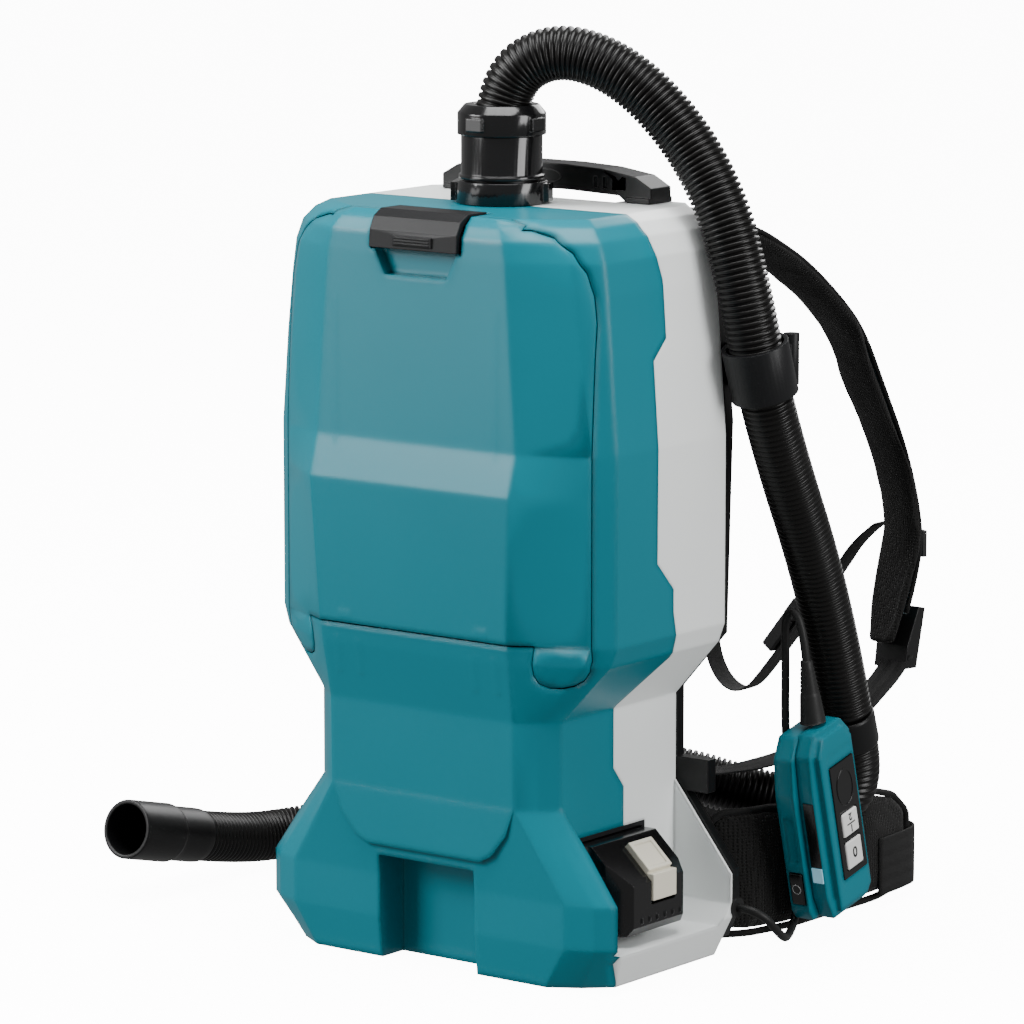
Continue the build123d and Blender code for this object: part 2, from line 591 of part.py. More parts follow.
COUPLING_START, COUPLING_END = Vector(*HOSE_ROUTE[-1]), Vector(*HOSE_TAIL[0])
COUPLING_AXIS = (COUPLING_END - COUPLING_START).normalized()
COUPLING_LENGTH = (COUPLING_END - COUPLING_START).length

with BuildPart() as hose_coupling:
    rod(tuple(COUPLING_START), tuple(COUPLING_AXIS), 20.2, COUPLING_LENGTH)
    rod(tuple(COUPLING_START - COUPLING_AXIS), tuple(COUPLING_AXIS), 16.5,
        COUPLING_LENGTH + 2, Mode.SUBTRACT)
save(hose_coupling.part, "hose_coupling")

HOLDER_CENTRE = (167.2, 59.9, 418.0)
HOLDER_AXIS = (-0.045, -0.30, 1)

CUFF_START = Vector(-301, 0, 34.4)
CUFF_AXIS = Vector(0, -1, 0.2385).normalized()

with BuildPart() as hose_end_cuff:
    rod(tuple(CUFF_START), tuple(CUFF_AXIS), 20.4, 34)
    rod(tuple(CUFF_START + CUFF_AXIS * 34), tuple(CUFF_AXIS), 22.0, 46)
    rod(tuple(CUFF_START - CUFF_AXIS), tuple(CUFF_AXIS), 17.0, 40, Mode.SUBTRACT)
    rod(tuple(CUFF_START + CUFF_AXIS * 30), tuple(CUFF_AXIS), 18.5, 60, Mode.SUBTRACT)
save(hose_end_cuff.part, "hose_end_cuff")

HOLDER = Plane(origin=HOLDER_CENTRE, z_dir=HOLDER_AXIS)

with BuildPart() as hose_holder:
    with Locations(HOLDER):
        Cylinder(23.6, 38)
    # Arm back to the frame, and the folded ears of the clamp.
    block((138.2, 156), (70.3, 78), (408, 430))
    block((156, 162), (76, 110), (412, 430))
    rod((159, 110, 402), (0, 0, 1), 5.5, 36)
    with Locations(HOLDER):
        Cylinder(20.7, 90, mode=Mode.SUBTRACT)
save(hose_holder.part, "hose_holder")

# ---------------------------------------------------------------- handle and back frame
with BuildPart() as carry_handle:
    grip = mirrored([(92, 530.4), (92, 541), (78, 548.5), (50, 552.5), (18, 554)])
    hollow = mirrored([(72, 529), (64, 534.5), (20, 536)])
    prism_xz(grip, (34, 58))
    prism_xz(hollow, (30, 62), Mode.SUBTRACT)
    for x in (-81, 81):
        block((x - 9, x + 11 if x > 0 else x + 9), (32, 59.5), (530.2, 534))
    for x in (44, 52, 60, 68):
        block((x - 1.6, x + 1.6), (33, 36.5), (539, 547), Mode.SUBTRACT)
save(carry_handle.part, "carry_handle")

FRAME_OUTLINE = mirrored([(98, 6), (137, 10), (146, 30), (146, 60), (97, 122), (97, 186),
                          (134, 228), (138, 380), (132, 440), (124, 500), (110, 526)])

with BuildPart() as back_frame:
    prism_xz(FRAME_OUTLINE, (REAR_FACE + 0.2, 70))
    for z in ((140, 200), (250, 330), (370, 450)):
        block((-60, 60), (60, 80), z, Mode.SUBTRACT)
    block((-SCOOP_HALF_WIDTH, SCOOP_HALF_WIDTH), (60, 80), (SCOOP_FLOOR, 530), Mode.SUBTRACT)
    # Lug behind the hose holder.
    block((120, 143.5), (66, 70), (404, 434))
    # Upper anchors for the shoulder straps, and lower lugs that hold the ends of their webbing.
    for side in (-1, 1):
        near, far = sorted((side * 92, side * 124))
        block((near, far), (69, 86), (490, 494))
        block((near, far), (REAR_FACE + 0.2, 70.9), (112, 136))
save(back_frame.part, "back_frame")

with BuildPart() as frame_screws:
    for x, z in ((-130, 40), (130, 40), (-85, 160), (85, 160), (-120, 300), (120, 300),
                 (-112, 470), (112, 470)):
        rod((x, 70, z), (0, 1, 0), 4.2, 2.0)
save(frame_screws.part, "frame_screws")

with BuildPart() as back_pads:
    prism_xz(mirrored([(70, 152), (78, 180), (78, 440), (66, 470)]), (70.4, 84))
    prism_xz(mirrored([(96, 8), (104, 20), (104, 60), (92, 78)]), (70.4, 86))
save(back_pads.part, "back_pads")

# ---------------------------------------------------------------- shoulder straps
STRAP_LINE = [(74, 517), (104, 507), (138, 492), (174, 475), (221, 445), (251, 420), (281, 376),
              (312, 327), (330, 283), (335, 253), (323, 212), (311, 180)]
STRAP_WIDTH, STRAP_THICKNESS = 46.0, 11.0
STRAP_MIDDLE = [110, 110, 110, 109, 107, 106, 105, 105, 105, 105, 105, 105]
STRAP_TURN = [0, 2, 6, 11, 17, 20, 23, 25, 26, 26, 24, 18]     # degrees, outer face to the outside


def strap_layer(count, offset, width, thickness):
    """Band along the right-hand strap line, moved off the wearer's shoulder by an offset."""
    with BuildPart() as layer:
        for i in range(count):
            before, after = STRAP_LINE[max(i - 1, 0)], STRAP_LINE[min(i + 1, len(STRAP_LINE) - 1)]
            along = Vector(0, after[0] - before[0], after[1] - before[1]).normalized()
            turn = math.radians(STRAP_TURN[i])
            flat = Vector(math.cos(turn), -math.sin(turn), 0)
            across = (flat - along * flat.dot(along)).normalized()
            centre = Vector(STRAP_MIDDLE[i], *STRAP_LINE[i]) - along.cross(across) * offset
            with BuildSketch(Plane(origin=tuple(centre), x_dir=tuple(across), z_dir=tuple(along))):
                Rectangle(width, thickness)
        loft(ruled=True)
    return layer.part


def both_sides(outline, x):
    """The same side-view prism on the right and on the left."""
    prism_yz(outline, x)
    prism_yz(outline, (-x[1], -x[0]))


strap_right = strap_layer(len(STRAP_LINE), 0, STRAP_WIDTH, STRAP_THICKNESS)
with BuildPart() as shoulder_pads:
    add(strap_right)
    add(mirror_x(strap_right))
save(shoulder_pads.part, "shoulder_pads")

strap_face = strap_layer(len(STRAP_LINE) - 1, 7.5, STRAP_WIDTH - 6, 3.4)
with BuildPart() as shoulder_covers:
    add(strap_face)
    add(mirror_x(strap_face))
save(shoulder_covers.part, "shoulder_covers")

WEBBING_LINE = [(71, 124), (110, 119), (150, 118), (190, 118), (225, 123), (262, 134), (292, 148),
                (313, 159)]

with BuildPart() as shoulder_webbing:
    both_sides(ribbon(WEBBING_LINE, 2.2), (98, 122))
save(shoulder_webbing.part, "shoulder_webbing")

with BuildPart() as strap_buckles:
    # Ladder locks at the lower ends, and the chest strap's sliders.
    both_sides([(336.6, 206), (345, 204), (334, 160), (319, 161), (321.6, 178)], (92, 120))
    for side in (-1, 1):
        middle = Location((side * 109.5, 346.2, 253), (0, 0, -side * 26))
        with Locations(middle):
            Box(28, 4, 20)
        with Locations(middle * Location((0, 3.5, 0), (90, 0, 0))):
            Cylinder(6, 3)
save(strap_buckles.part, "strap_buckles")

# The chest strap hangs slack between the shoulder straps; its buckle sits on the slanting part.
CHEST_LINE = [(-79, 264), (-79, 200), (-77, 160), (-70, 136), (-56, 122), (-40, 122), (-24, 138),
              (42, 223), (60, 250), (79, 264)]
CHEST_Y = (336.0, 356.0)
CHEST_SLOPE = Vector(66, 0, 85).normalized()
CHEST_BUCKLE = Plane(origin=(9, 346, 180.5), x_dir=CHEST_SLOPE, z_dir=(-CHEST_SLOPE.Z, 0, CHEST_SLOPE.X))


def on_chest(x, y, z, mode=Mode.ADD):
    """Block in the chest buckle's own axes: x up the strap, z off its face."""
    size = (x[1] - x[0], y[1] - y[0], z[1] - z[0])
    middle = ((x[0] + x[1]) / 2, (y[0] + y[1]) / 2, (z[0] + z[1]) / 2)
    with Locations(CHEST_BUCKLE * Location(middle)):
        Box(*size, mode=mode)


with BuildPart() as chest_webbing:
    prism_xz(ribbon(CHEST_LINE, 2.0), CHEST_Y)
save(chest_webbing.part, "chest_webbing")

with BuildPart() as chest_buckle_female:
    on_chest((-32, 0), (-13, 13), (1.6, 12.6))
    on_chest((-16, 4), (-9.5, 9.5), (3.6, 10.6), Mode.SUBTRACT)
save(chest_buckle_female.part, "chest_buckle_female")

with BuildPart() as chest_buckle_male:
    on_chest((0.6, 16), (-13, 13), (1.6, 12.6))
    for y in (-5, 5):
        on_chest((-14, 2), (y - 2.5, y + 2.5), (4.5, 9.5))
save(chest_buckle_male.part, "chest_buckle_male")

# ---------------------------------------------------------------- waist belt
BELT_LINE = [(113, 75.5), (132, 98), (141, 135), (142, 180), (143, 235), (141, 286)]
BELT_TIP = [(84, 5), (250, 5), (290, 10), (290, 62), (270, 78), (244, 85), (230, 82), (212, 58)]
# The right wing is taller behind the hand control; the left one stays low, under the hose.
BELT_ROOTS = {"right": [(168, 58), (148, 88), (120, 94), (84, 94), (70, 84), (70, 8)],
              "left": [(70, 58), (70, 8)]}


def make_belt_wing(root):
    """Padded wing of the waist belt, curved round the hip, in right-hand position."""
    with BuildPart() as wing:
        prism_xy(ribbon(BELT_LINE, 13), (0, 100))
        prism_yz(BELT_TIP + root, (80, 200), Mode.INTERSECT)
    return wing.part


with BuildPart() as belt_pads:
    add(make_belt_wing(BELT_ROOTS["right"]))
    add(mirror_x(make_belt_wing(BELT_ROOTS["left"])))
save(belt_pads.part, "belt_pads")

BELT_WEB_LINE = [(152.4, 238), (150.5, 284), (142, 301), (120, 310), (84, 313.6), (0, 314.2)]

with BuildPart() as belt_webbing:
    half = ribbon(BELT_WEB_LINE, 2.6)
    prism_xy(half, (8, 52))
    prism_xy([(-x, y) for x, y in half], (8, 52))
save(belt_webbing.part, "belt_webbing")

with BuildPart() as waist_buckle_female:
    block((-48, 8), (316, 330), (4, 56))
    block((-22, 12), (319.5, 326.5), (10, 50), Mode.SUBTRACT)
save(waist_buckle_female.part, "waist_buckle_female")

with BuildPart() as waist_buckle_male:
    block((8.6, 30), (316, 330), (4, 56))
    for z in (18, 42):
        block((-19, 10), (320.5, 325.5), (z - 6, z + 6))
save(waist_buckle_male.part, "waist_buckle_male")

# ---------------------------------------------------------------- hand controller
CONTROL_PLANE = Plane(origin=(174.5, 131, 88), x_dir=(0, math.cos(math.radians(14)),
                                                       math.sin(math.radians(14))),
                      z_dir=(1, 0, 0))
# Local x runs across the face towards the harness, local y up the body, z out of the face.


def on_controller(x, y, z, mode=Mode.ADD):
    """Block in the controller's own tilted axes, from (low, high) pairs."""
    size = (x[1] - x[0], y[1] - y[0], z[1] - z[0])
    middle = ((x[0] + x[1]) / 2, (y[0] + y[1]) / 2, (z[0] + z[1]) / 2)
    with Locations(CONTROL_PLANE * Location(middle)):
        Box(*size, mode=mode)


def controller_prism(outline, z):
    """Outline in the controller's own axes, pushed out of its face."""
    corners = [CONTROL_PLANE.from_local_coords((x, y, z[0])) for x, y in outline]
    prism([tuple(corner) for corner in corners], (z[1] - z[0], 0, 0))


KEYS = {"key_speed": (-13, 6), "key_off": (-38, -16)}

with BuildPart() as controller_front:
    controller_prism([(-19, -68), (22, -68), (30, -60), (30, 60), (21, 72), (-13, 72), (-22, 58),
                      (-24, 30), (-24, -50)], (0, 12.5))
    controller_prism([(-14, -64), (20, -64), (26, -58), (26, 58), (18, 68), (-9, 68), (-16, 56)],
                     (12.5, 16.5))
    on_controller((-18, 25), (-55, 55), (-1, 11), Mode.SUBTRACT)
    on_controller((-7, 24), (-50, 54), (-1, 14.2), Mode.SUBTRACT)
    on_controller((-6, 24), (-43, 44), (14, 17), Mode.SUBTRACT)
save(controller_front.part, "controller_front")

with BuildPart() as controller_back:
    controller_prism([(-26, -68), (20, -68), (28, -60), (28, 60), (20, 70), (-16, 70), (-26, 56),
                      (-30, 30), (-30, -60)], (-16, -0.2))
    on_controller((-18, 25), (-55, 58), (-13.5, 1), Mode.SUBTRACT)
    on_controller((-31, -27), (-55, -30), (-14, -2), Mode.SUBTRACT)
    on_controller((-31, -28.5), (-22, 12), (-12, -4), Mode.SUBTRACT)
save(controller_back.part, "controller_back")

with BuildPart() as label_panel:
    on_controller((-5.8, 23.8), (-42.8, 43.8), (14.3, 17.0))
    for low, high in KEYS.values():
        on_controller((-1, 19), (low, high), (14, 18), Mode.SUBTRACT)
    # Indicator strip on the edge of the body.
    on_controller((-25.2, -24.1), (-26, 24), (3, 12))
save(label_panel.part, "label_panel")

for key, (low, high) in KEYS.items():
    with BuildPart() as key_part:
        on_controller((-0.5, 18.5), (low + 0.5, high - 0.5), (15.4, 18.2))
    save(key_part.part, key)

with BuildPart() as indicator_lens:
    on_controller((-25.2, -24.1), (-38, -26.4), (3, 12))
save(indicator_lens.part, "indicator_lens")

with BuildPart() as wireless_key:
    on_controller((-31.0, -27.8), (-54.5, -30.5), (-13.5, -2.5))
save(wireless_key.part, "wireless_key")

with BuildPart() as belt_clip:
    on_controller((-8, 10), (-40, 24), (-18.0, -16.2))
    on_controller((10, 24), (-40, 0), (-26.0, -16.2))
save(belt_clip.part, "belt_clip")

CABLE_ROUTE = [
    (157, 53, 36), (176, 53, 36), (178, 78, 12), (163, 106, 5.6), (153.5, 128, 11),
    (152.6, 137, 38), (152.6, 126, 92), (152.6, 115, 150), (152.8, 115, 205), (153.5, 112, 240),
    (170.2, 108.2, 240), (172, 112.5, 206),
]
save(cord("cable", CABLE_ROUTE, CABLE_R), "cable")

BOOT_TOP = Vector(*CABLE_ROUTE[-1])
BOOT_FOOT = Vector(174.39, 118.2, 160.8)

with BuildPart() as cable_boot:
    axis = BOOT_TOP - BOOT_FOOT
    add(Solid.make_cone(9.5, 4.4, axis.length, Plane(origin=tuple(BOOT_FOOT), z_dir=tuple(axis))))
save(cable_boot.part, "cable_boot")

with BuildPart() as cable_gland:
    rod((141.5, 53, 36), (1, 0, 0), 4.9, 14)
    rod((155.3, 53, 36), (1, 0, 0), 7, 1.7)
save(cable_gland.part, "cable_gland")
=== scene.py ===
import math
import json

import bpy
from mathutils import Matrix, Vector, noise


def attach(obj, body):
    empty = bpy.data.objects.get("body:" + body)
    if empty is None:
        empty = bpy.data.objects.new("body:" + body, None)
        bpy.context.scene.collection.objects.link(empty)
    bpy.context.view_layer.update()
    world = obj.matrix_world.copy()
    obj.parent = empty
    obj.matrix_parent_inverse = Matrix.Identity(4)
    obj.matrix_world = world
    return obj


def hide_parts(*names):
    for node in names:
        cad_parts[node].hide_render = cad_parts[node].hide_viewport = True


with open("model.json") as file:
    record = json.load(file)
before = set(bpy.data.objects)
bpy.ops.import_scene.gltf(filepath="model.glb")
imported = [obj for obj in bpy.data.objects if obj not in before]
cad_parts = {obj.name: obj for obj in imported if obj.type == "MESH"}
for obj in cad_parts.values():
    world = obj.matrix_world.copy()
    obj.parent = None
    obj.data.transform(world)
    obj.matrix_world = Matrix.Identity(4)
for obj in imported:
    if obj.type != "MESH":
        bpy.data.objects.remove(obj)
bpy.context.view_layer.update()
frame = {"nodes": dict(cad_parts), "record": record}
nodes = frame["nodes"]

# Backpack vacuum cleaner, visual model. Metres, in the frame of the CAD model: -Y is the lid side,
# +Y the harness side, +X the side with the hand control, Z up.
MM = 0.001


def mm(*values):
    """A point given in millimetres."""
    return Vector(values) * MM


def link(obj):
    """Put an object into the scene."""
    bpy.context.scene.collection.objects.link(obj)
    return obj


# ---------------------------------------------------------------- camera
CAMERA_AZIMUTH, CAMERA_ELEVATION = math.radians(37.5), math.radians(9.4)
CAMERA_TARGET = Vector((-0.0033, 0.0, 0.309))
CAMERA_DISTANCE = 3.8532
CAMERA_LENS = 191.95


def make_camera():
    """Camera at the chosen azimuth and elevation round the target."""
    away = Vector((math.sin(CAMERA_AZIMUTH) * math.cos(CAMERA_ELEVATION),
                   -math.cos(CAMERA_AZIMUTH) * math.cos(CAMERA_ELEVATION),
                   math.sin(CAMERA_ELEVATION)))
    data = bpy.data.cameras.new("camera")
    data.lens = CAMERA_LENS
    data.sensor_width = 36
    camera = link(bpy.data.objects.new("camera", data))
    camera.location = CAMERA_TARGET + away * CAMERA_DISTANCE
    camera.rotation_euler = away.to_track_quat("Z", "Y").to_euler()
    bpy.context.scene.camera = camera


make_camera()


# ---------------------------------------------------------------- materials
class Shader:
    """One node material: a Principled shader and short ways to wire textures into it."""

    def __init__(self, name, **constants):
        self.material = bpy.data.materials.new(name)
        self.material.use_nodes = True
        self.tree = self.material.node_tree
        self.principled = self.tree.nodes["Principled BSDF"]
        for socket, value in constants.items():
            self.principled.inputs[socket.replace("_", " ")].default_value = value

    def node(self, kind, settings=None, **inputs):
        """New node; i0, i1 ... name an input by its number, other keys by its label."""
        made = self.tree.nodes.new("ShaderNode" + kind)
        for key, value in (settings or {}).items():
            setattr(made, key, value)
        for key, value in inputs.items():
            socket = made.inputs[int(key[1:]) if key[0] == "i" and key[1:].isdigit()
                                 else key.replace("_", " ")]
            if isinstance(value, bpy.types.NodeSocket):
                self.tree.links.new(value, socket)
            else:
                socket.default_value = value
        return made

    def wire(self, output, socket):
        self.tree.links.new(output, self.principled.inputs[socket])

    def place(self):
        return self.node("TexCoord").outputs["Object"]

    def noise(self, scale, detail=3.0, vector=None):
        made = self.node("TexNoise", Vector=vector or self.place(), Scale=scale, Detail=detail)
        return made.outputs["Fac"]

    def spread(self, value, low, high, start=0.25, end=0.75):
        made = self.node("MapRange", Value=value, From_Min=start, From_Max=end, To_Min=low,
                         To_Max=high)
        return made.outputs["Result"]

    def mix(self, factor, first, second):
        made = self.node("Mix", {"data_type": "RGBA"}, i0=factor, i6=first, i7=second)
        return made.outputs[2]

    def math(self, operation, first, second=0.0):
        return self.node("Math", {"operation": operation}, i0=first, i1=second).outputs[0]

    def bump(self, height, distance, strength=1.0, normal=None):
        made = self.node("Bump", Height=height, Distance=distance, Strength=strength)
        if normal is not None:
            self.tree.links.new(normal, made.inputs["Normal"])
        return made.outputs["Normal"]


def shade(colour, factor):
    """A colour made lighter or darker, with alpha."""
    return (colour[0] * factor, colour[1] * factor, colour[2] * factor, 1.0)


def moulded(name, colour, roughness, grain=0.00002, edge=0.0006, coat=0.0, specular=0.5,
            worn=0.0):
    """Injection-moulded plastic: faint cloudiness, fine grain, softened and slightly worn edges."""
    s = Shader(name, Coat_Weight=coat, Coat_Roughness=0.08, Specular_IOR_Level=specular)
    cloud = s.spread(s.noise(6.0, 2.0), 0.0, 1.0)
    tint = s.mix(cloud, shade(colour, 0.95), shade(colour, 1.04))
    if worn > 0:
        rounded = s.node("Bevel", Radius=edge * 1.6).outputs["Normal"]
        flat = s.node("NewGeometry").outputs["Normal"]
        turn = s.node("VectorMath", {"operation": "DOT_PRODUCT"}, i0=rounded,
                      i1=flat).outputs["Value"]
        rub = s.spread(s.noise(60.0, 5.0), 0.0, 1.0, 0.45, 0.7)
        rim = s.math("MULTIPLY", s.spread(turn, 1.0, 0.0, 0.75, 0.97), rub)
        light = (colour[0] * 1.1 + 0.05, colour[1] * 1.1 + 0.05, colour[2] * 1.1 + 0.05, 1.0)
        tint = s.mix(s.math("MULTIPLY", rim, worn), tint, light)
    s.wire(tint, "Base Color")
    smear = s.spread(s.noise(9.0, 2.0), roughness * 0.94, roughness * 1.08)
    s.wire(smear, "Roughness")
    rounded = s.node("Bevel", Radius=edge).outputs["Normal"]
    s.wire(s.bump(s.noise(2600.0, 2.0), grain, normal=rounded), "Normal")
    return s.material


def ribbed_rubber(name, colour, roughness):
    """Semi-gloss extruded hose plastic with a fine grain and dusty blotches."""
    s = Shader(name, Specular_IOR_Level=0.26)
    dust = s.spread(s.noise(30.0, 3.0), 0.0, 1.0)
    s.wire(s.mix(dust, shade(colour, 0.8), shade(colour, 1.3)), "Base Color")
    s.wire(s.spread(s.noise(45.0, 3.0), roughness * 0.9, roughness * 1.2), "Roughness")
    s.wire(s.bump(s.noise(1800.0, 2.0), 0.00003), "Normal")
    return s.material


def woven(name, colour, thread, roughness=0.75, sheen=0.3, ribs=False):
    """Woven cloth on UVs in metres: threads over and under each other, or webbing's cross ribs, with
    painted shade in the dips between the threads.
    """
    s = Shader(name, Sheen_Weight=sheen, Sheen_Roughness=0.4, Specular_IOR_Level=0.25)
    uv = s.node("SeparateXYZ", Vector=s.node("TexCoord").outputs["UV"])
    across = s.math("MULTIPLY", uv.outputs["X"], math.pi / thread)
    along = s.math("MULTIPLY", uv.outputs["Y"], math.pi / thread)
    if ribs:
        chevron = s.math("PINGPONG", uv.outputs["X"], thread * 3.5)
        slant = s.math("ADD", uv.outputs["Y"], s.math("MULTIPLY", chevron, 0.6))
        weft = s.math("ABSOLUTE", s.math("SINE", s.math("MULTIPLY", slant, math.pi / thread)))
        warp = s.math("ABSOLUTE", s.math("SINE", across))
        height = s.math("MULTIPLY", weft, s.spread(warp, 0.55, 1.0, 0.0, 0.6))
    else:
        warp = s.math("SINE", across)
        weft = s.math("SINE", along)
        height = s.math("ADD", s.math("MULTIPLY", s.math("MULTIPLY", warp, weft), 0.5), 0.5)
    fuzz = s.noise(900.0, 4.0)
    worn = s.spread(s.noise(18.0, 5.0), 0.0, 1.0)
    # Painted shade: the threads are painted lighter where they rise and darker in the dips between
    # them.
    dark, light = shade(colour, 0.55), shade(colour, 1.35)
    tint = s.mix(s.math("MULTIPLY", height, s.spread(fuzz, 0.6, 1.0)), dark, light)
    s.wire(s.mix(s.math("MULTIPLY", worn, 0.3), tint, shade(colour, 1.6)), "Base Color")
    s.wire(s.spread(fuzz, roughness - 0.08, roughness + 0.1), "Roughness")
    grown = s.math("ADD", height, s.math("MULTIPLY", fuzz, 0.35))
    s.wire(s.bump(grown, thread * 0.32), "Normal")
    return s.material


def mesh_cloth(name, colour, hole, roughness=0.8, sheen=0.35):
    """Spacer mesh over foam: small round holes in a knitted face, with painted shade inside the
    holes, on object coordinates.
    """
    s = Shader(name, Sheen_Weight=sheen, Sheen_Roughness=0.45, Specular_IOR_Level=0.2)
    cell = s.node("TexVoronoi", {"feature": "F1"}, Vector=s.place(), Scale=1.0 / hole,
                  Randomness=0.25).outputs["Distance"]
    rim = s.spread(cell, 0.0, 1.0, 0.22, 0.5)
    fuzz = s.noise(700.0, 4.0)
    cloud = s.spread(s.noise(16.0, 5.0), 0.75, 1.25)
    # Painted shade: the holes are painted darker than the knit round them.
    tint = s.mix(rim, shade(colour, 0.35), shade(colour, 1.25))
    value = s.node("HueSaturation", Value=cloud, Color=tint).outputs["Color"]
    s.wire(value, "Base Color")
    s.wire(s.spread(fuzz, roughness - 0.1, roughness + 0.1), "Roughness")
    grown = s.math("ADD", rim, s.math("MULTIPLY", fuzz, 0.3))
    s.wire(s.bump(grown, hole * 0.3), "Normal")
    return s.material


def metal(name, colour, roughness, grain):
    """Bare or plated metal with a fine drawn grain and a little tarnish."""
    s = Shader(name, Metallic=1.0)
    tarnish = s.spread(s.noise(40.0, 6.0), 0.0, 1.0)
    s.wire(s.mix(tarnish, shade(colour, 0.75), shade(colour, 1.05)), "Base Color")
    s.wire(s.spread(s.noise(80.0, 5.0), roughness * 0.7, roughness * 1.4), "Roughness")
    s.wire(s.bump(s.noise(grain, 2.0), 0.00002), "Normal")
    return s.material


def fleece(name, colour):
    """Paper or non-woven fleece: matted fibres with soft blotches."""
    s = Shader(name, Sheen_Weight=0.4, Specular_IOR_Level=0.2)
    fibres = s.noise(1200.0, 8.0)
    blotch = s.spread(s.noise(24.0, 6.0), 0.0, 1.0)
    s.wire(s.mix(blotch, shade(colour, 0.86), shade(colour, 1.02)), "Base Color")
    s.wire(s.spread(fibres, 0.8, 1.0), "Roughness")
    s.wire(s.bump(fibres, 0.0004), "Normal")
    return s.material


def lens(name, colour):
    """Tinted light-pipe plastic, lit softly from inside."""
    s = Shader(name, Coat_Weight=0.6, Emission_Color=shade(colour, 1.0), Emission_Strength=0.25)
    cloud = s.spread(s.noise(120.0, 3.0), 0.0, 1.0)
    s.wire(s.mix(cloud, shade(colour, 0.85), shade(colour, 1.0)), "Base Color")
    s.wire(s.spread(cloud, 0.12, 0.25, 0.0, 1.0), "Roughness")
    s.wire(s.node("Bevel", Radius=0.0004).outputs["Normal"], "Normal")
    return s.material


TEAL = (0.0, 0.175, 0.23)
MATERIALS = {
    "teal_plastic": moulded("teal_plastic", TEAL, 0.3, 0.000012, 0.0060, coat=0.06, specular=0.3),
    "white_plastic": moulded("white_plastic", (0.90, 0.93, 0.92), 0.38, 0.000015, 0.0040,
                             coat=0.1),
    "black_plastic": moulded("black_plastic", (0.0055, 0.0055, 0.0058), 0.36, 0.00004, 0.0007,
                             specular=0.3, worn=0.25),
    "gloss_black": moulded("gloss_black", (0.0045, 0.0045, 0.0048), 0.15, 0.000012, 0.0012,
                           coat=0.2, specular=0.4, worn=0.12),
    "grey_plastic": moulded("grey_plastic", (0.008, 0.0082, 0.009), 0.42, 0.00004, 0.0009,
                            specular=0.22, worn=0.15),
    "cream_plastic": moulded("cream_plastic", (0.74, 0.70, 0.58), 0.4, 0.00002, 0.0009),
    "white_key": moulded("white_key", (0.80, 0.80, 0.78), 0.38, 0.00001, 0.0007),
    "blue_lens": lens("blue_lens", (0.36, 0.75, 0.92)),
    "hose_plastic": ribbed_rubber("hose_plastic", (0.0048, 0.0045, 0.0043), 0.3),
    "soft_rubber": ribbed_rubber("soft_rubber", (0.012, 0.012, 0.012), 0.48),
    "steel": metal("steel", (0.55, 0.55, 0.56), 0.3, 900.0),
    "aluminium": metal("aluminium", (0.62, 0.63, 0.65), 0.42, 500.0),
    "copper": metal("copper", (0.72, 0.34, 0.17), 0.35, 1600.0),
    "board_green": moulded("board_green", (0.014, 0.13, 0.05), 0.35, 0.00005, 0.0004),
    "paper_bag": fleece("paper_bag", (0.72, 0.69, 0.61)),
    "filter_paper": fleece("filter_paper", (0.82, 0.82, 0.79)),
    "black_webbing": woven("black_webbing", (0.005, 0.005, 0.005), 0.0013, sheen=0.06, ribs=True),
    "black_fabric": mesh_cloth("black_fabric", (0.0046, 0.0044, 0.0042), 0.0024, sheen=0.08),
    "teal_fabric": woven("teal_fabric", (0.002, 0.085, 0.11), 0.0007, sheen=0.15),
}
BINDING = woven("binding_tape", (0.004, 0.004, 0.004), 0.0008, sheen=0.06)
THREAD = woven("stitch_thread", (0.02, 0.02, 0.022), 0.0005, roughness=0.6)
PRINT = moulded("key_print", (0.01, 0.01, 0.011), 0.5, 0.00001, 0.0001)
PALE_PRINT = moulded("pale_print", (0.55, 0.56, 0.56), 0.45, 0.00001, 0.0001)


# ---------------------------------------------------------------- shared mesh helpers
def wear(obj, material):
    """Make one material the only one on an object."""
    obj.data.materials.clear()
    obj.data.materials.append(material)


def own(obj, slot, body="pack", material=None):
    """Give a new piece the material of its record slot, or the one given, and the body that it moves
    with.
    """
    if material is None:
        material = MATERIALS[slot]
    wear(obj, material)
    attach(obj, body)
    return obj


def mesh_object(name, verts, faces, uvs=None, smooth=True):
    """Linked object from points and faces."""
    mesh = bpy.data.meshes.new(name)
    mesh.from_pydata([tuple(v) for v in verts], [], faces)
    if uvs is not None:
        layer = mesh.uv_layers.new(name="UVMap")
        for item, uv in zip(layer.data, uvs):
            item.uv = uv
    if smooth:
        mesh.shade_smooth()
    mesh.validate()
    return link(bpy.data.objects.new(name, mesh))


def skin(name, rings, caps=True):
    """Surface through rings of points, with UVs in metres across and along it."""
    count = len(rings[0])
    middle = rings[len(rings) // 2]
    across = [0.0]
    for i in range(count):
        across.append(across[-1] + (middle[(i + 1) % count] - middle[i]).length)
    along = [0.0]
    for before, after in zip(rings, rings[1:]):
        steps = [(b - a).length for a, b in zip(before, after)]
        along.append(along[-1] + sum(steps) / count)
    faces, uvs = [], []
    for row in range(len(rings) - 1):
        for i in range(count):
            j = (i + 1) % count
            low, high = row * count, (row + 1) * count
            faces.append((low + i, low + j, high + j, high + i))
            uvs += [(across[i], along[row]), (across[i + 1], along[row]),
                    (across[i + 1], along[row + 1]), (across[i], along[row + 1])]
    if caps:
        faces.append(tuple(range(count))[::-1])
        faces.append(tuple((len(rings) - 1) * count + i for i in range(count)))
        uvs += [(0.0, 0.0)] * (2 * count)
    return mesh_object(name, [p for ring in rings for p in ring], faces, uvs)


def smooth_line(route, steps=24):
    """Points along the NURBS line of a route given in millimetres, read from a curve."""
    curve = nurbs_curve("line", route)
    curve.resolution_u = steps
    holder = bpy.data.objects.new("line", curve)
    mesh = bpy.data.meshes.new_from_object(holder)
    points = [vertex.co.copy() for vertex in mesh.vertices]
    bpy.data.objects.remove(holder)
    bpy.data.meshes.remove(mesh)
    return points


